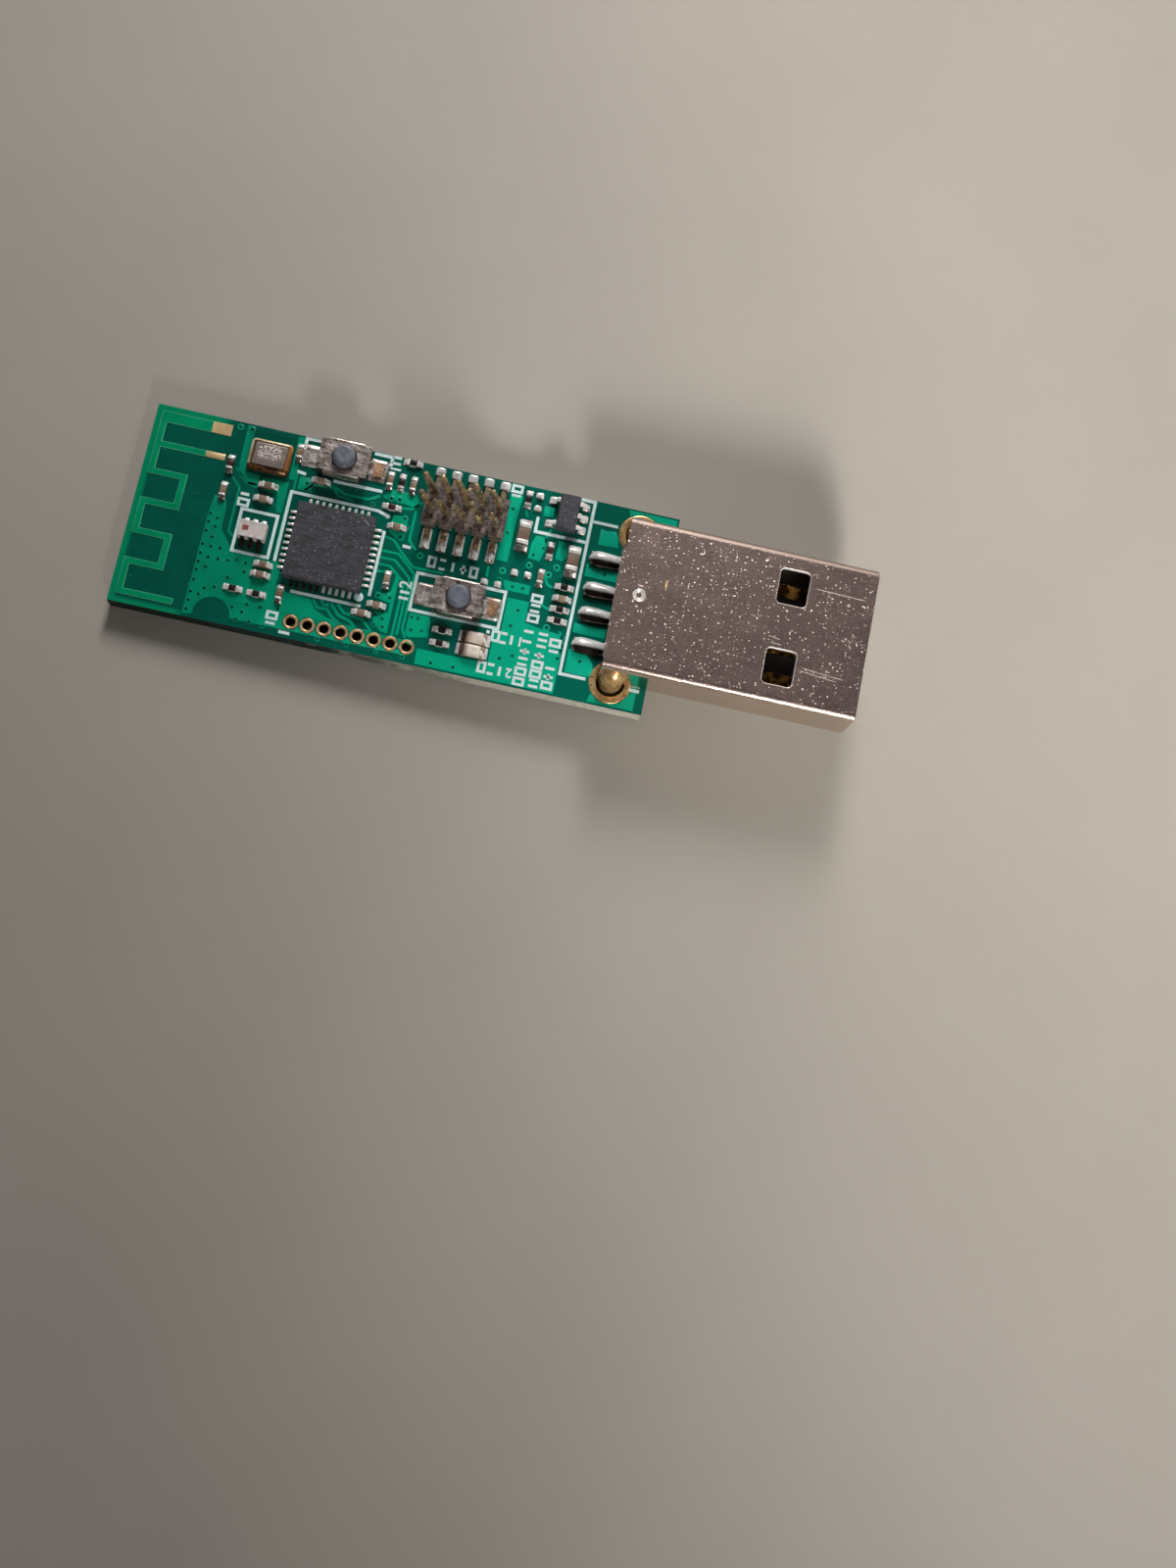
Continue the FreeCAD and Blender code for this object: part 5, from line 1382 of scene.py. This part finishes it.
class STICK_OT_stage(StickOperator, bpy.types.Operator):
    """Lay the floor under the stick and set the lamps, the sky and the camera"""
    bl_idname = "stick.stage"
    bl_label = "Stage"

    def build(self):
        self.floor()
        for lamp in LAMPS:
            self.lamp(*lamp)
        self.sky()
        self.camera()
        bpy.context.scene.view_settings.view_transform = "Standard"

    def floor(self):
        """A plain floor that the antenna end and the plug's legs rest on."""
        rise = BOARD_LOW.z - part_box("usb_shell")[0].z
        leg_x = (TO_FRAME @ Vector((LEG_X, 0, 0))).x
        tilt = Matrix.Rotation(math.atan2(rise, leg_x - BOARD_LOW.x), 3, "Y")
        bm = bmesh.new()
        bmesh.ops.create_grid(bm, x_segments=8, y_segments=8, size=FLOOR_SIZE)
        bmesh.ops.rotate(bm, verts=bm.verts[:], cent=(0, 0, 0), matrix=tilt)
        bmesh.ops.translate(bm, vec=(BOARD_LOW.x, 0, BOARD_LOW.z - FLOOR_GAP), verts=bm.verts[:])
        mesh = bpy.data.meshes.new("floor")
        bm.to_mesh(mesh)
        bm.free()
        made = Finish("floor", roughness=0.75)
        tone = colours().floor[:]
        made.use(Base_Color=made.mix(made.cloud(22.0, 0.35, 0.65, detail=5.0), darker(tone, 0.94), tone))
        mesh.materials.append(made.material)
        ground = bpy.data.objects.new("floor", mesh)
        bpy.context.scene.collection.objects.link(ground)

    def lamp(self, name, place, aim, power, span, colour, cone):
        """A round or oval lamp that looks at a point, with its light kept to a cone."""
        light = bpy.data.lights.new(name, "AREA")
        light.shape = "ELLIPSE"
        light.size, light.size_y = span
        light.energy = power
        light.spread = math.radians(cone)
        light.color = colour
        made = bpy.data.objects.new(name, light)
        made.location = place
        made.rotation_euler = (Vector(aim) - Vector(place)).to_track_quat("-Z", "Y").to_euler()
        bpy.context.scene.collection.objects.link(made)

    def sky(self):
        """A plain room: pale low down on the far and right sides, and dim overhead and near left."""
        world = bpy.data.worlds.new("room")
        bpy.context.scene.world = world
        world.use_nodes = True
        tree = world.node_tree
        toward = tree.nodes.new("ShaderNodeTexCoord").outputs["Generated"]
        parts = tree.nodes.new("ShaderNodeSeparateXYZ")
        tree.links.new(toward, parts.inputs["Vector"])
        bright_side = tree.nodes.new("ShaderNodeVectorMath")
        bright_side.operation = "DOT_PRODUCT"
        bright_side.inputs[1].default_value = BRIGHT_SIDE
        tree.links.new(toward, bright_side.inputs[0])
        side = self.blend(tree, bright_side.outputs["Value"], (-0.5, 0.6), SKY_DIM, SKY_PALE)
        whole = self.blend(tree, parts.outputs["Z"], (0.15, 0.45), side, SKY_OVERHEAD)
        tree.links.new(whole, tree.nodes["Background"].inputs["Color"])

    def blend(self, tree, value, ends, first, last):
        """One colour that turns into another while a value goes from one end to the other."""
        share = tree.nodes.new("ShaderNodeMapRange")
        share.inputs["From Min"].default_value, share.inputs["From Max"].default_value = ends
        tree.links.new(value, share.inputs["Value"])
        mix = tree.nodes.new("ShaderNodeMix")
        mix.data_type = "RGBA"
        tree.links.new(share.outputs["Result"], mix.inputs[0])
        for socket, colour in ((mix.inputs[6], first), (mix.inputs[7], last)):
            if isinstance(colour, bpy.types.NodeSocket):
                tree.links.new(colour, socket)
            else:
                socket.default_value = (*colour, 1.0)
        return mix.outputs[2]

    def camera(self):
        """The camera that the photo was taken from."""
        camera = bpy.data.cameras.new("camera")
        camera.lens, camera.sensor_width = CAMERA_LENS, CAMERA_SENSOR
        camera.clip_start = 0.01
        made = bpy.data.objects.new("camera", camera)
        made.matrix_world = Matrix.Translation(CAMERA_PLACE) @ Matrix(CAMERA_AXES).to_4x4()
        bpy.context.scene.collection.objects.link(made)
        bpy.context.scene.camera = made


OPERATORS = (STICK_OT_finishes, STICK_OT_board, STICK_OT_silk, STICK_OT_holes, STICK_OT_plug,
             STICK_OT_plug_solder, STICK_OT_chip, STICK_OT_cans, STICK_OT_switches, STICK_OT_header,
             STICK_OT_regulator, STICK_OT_lamps, STICK_OT_small_parts, STICK_OT_stage)


class STICK_PT_looks(bpy.types.Panel):
    """The stick's operators and the values they use"""
    bl_idname = "STICK_PT_looks"
    bl_label = "Radio Stick"
    bl_space_type = "VIEW_3D"
    bl_region_type = "UI"
    bl_category = "Radio Stick"

    def draw(self, context):
        for operator in OPERATORS:
            self.layout.operator(operator.bl_idname)
        for group in (context.scene.stick_sizes, context.scene.stick_colours):
            box = self.layout.box()
            for name in group.__annotations__:
                box.prop(group, name)


def register():
    for cls in (StickSizes, StickColours, *OPERATORS, STICK_PT_looks):
        bpy.utils.register_class(cls)
    bpy.types.Scene.stick_sizes = PointerProperty(type=StickSizes)
    bpy.types.Scene.stick_colours = PointerProperty(type=StickColours)


def unregister():
    del bpy.types.Scene.stick_sizes
    del bpy.types.Scene.stick_colours
    for cls in (STICK_PT_looks, *reversed(OPERATORS), StickColours, StickSizes):
        bpy.utils.unregister_class(cls)


def main():
    register()
    for operator in OPERATORS:
        family, name = operator.bl_idname.split(".")
        getattr(getattr(bpy.ops, family), name)()


if __name__ == "__main__":
    main()
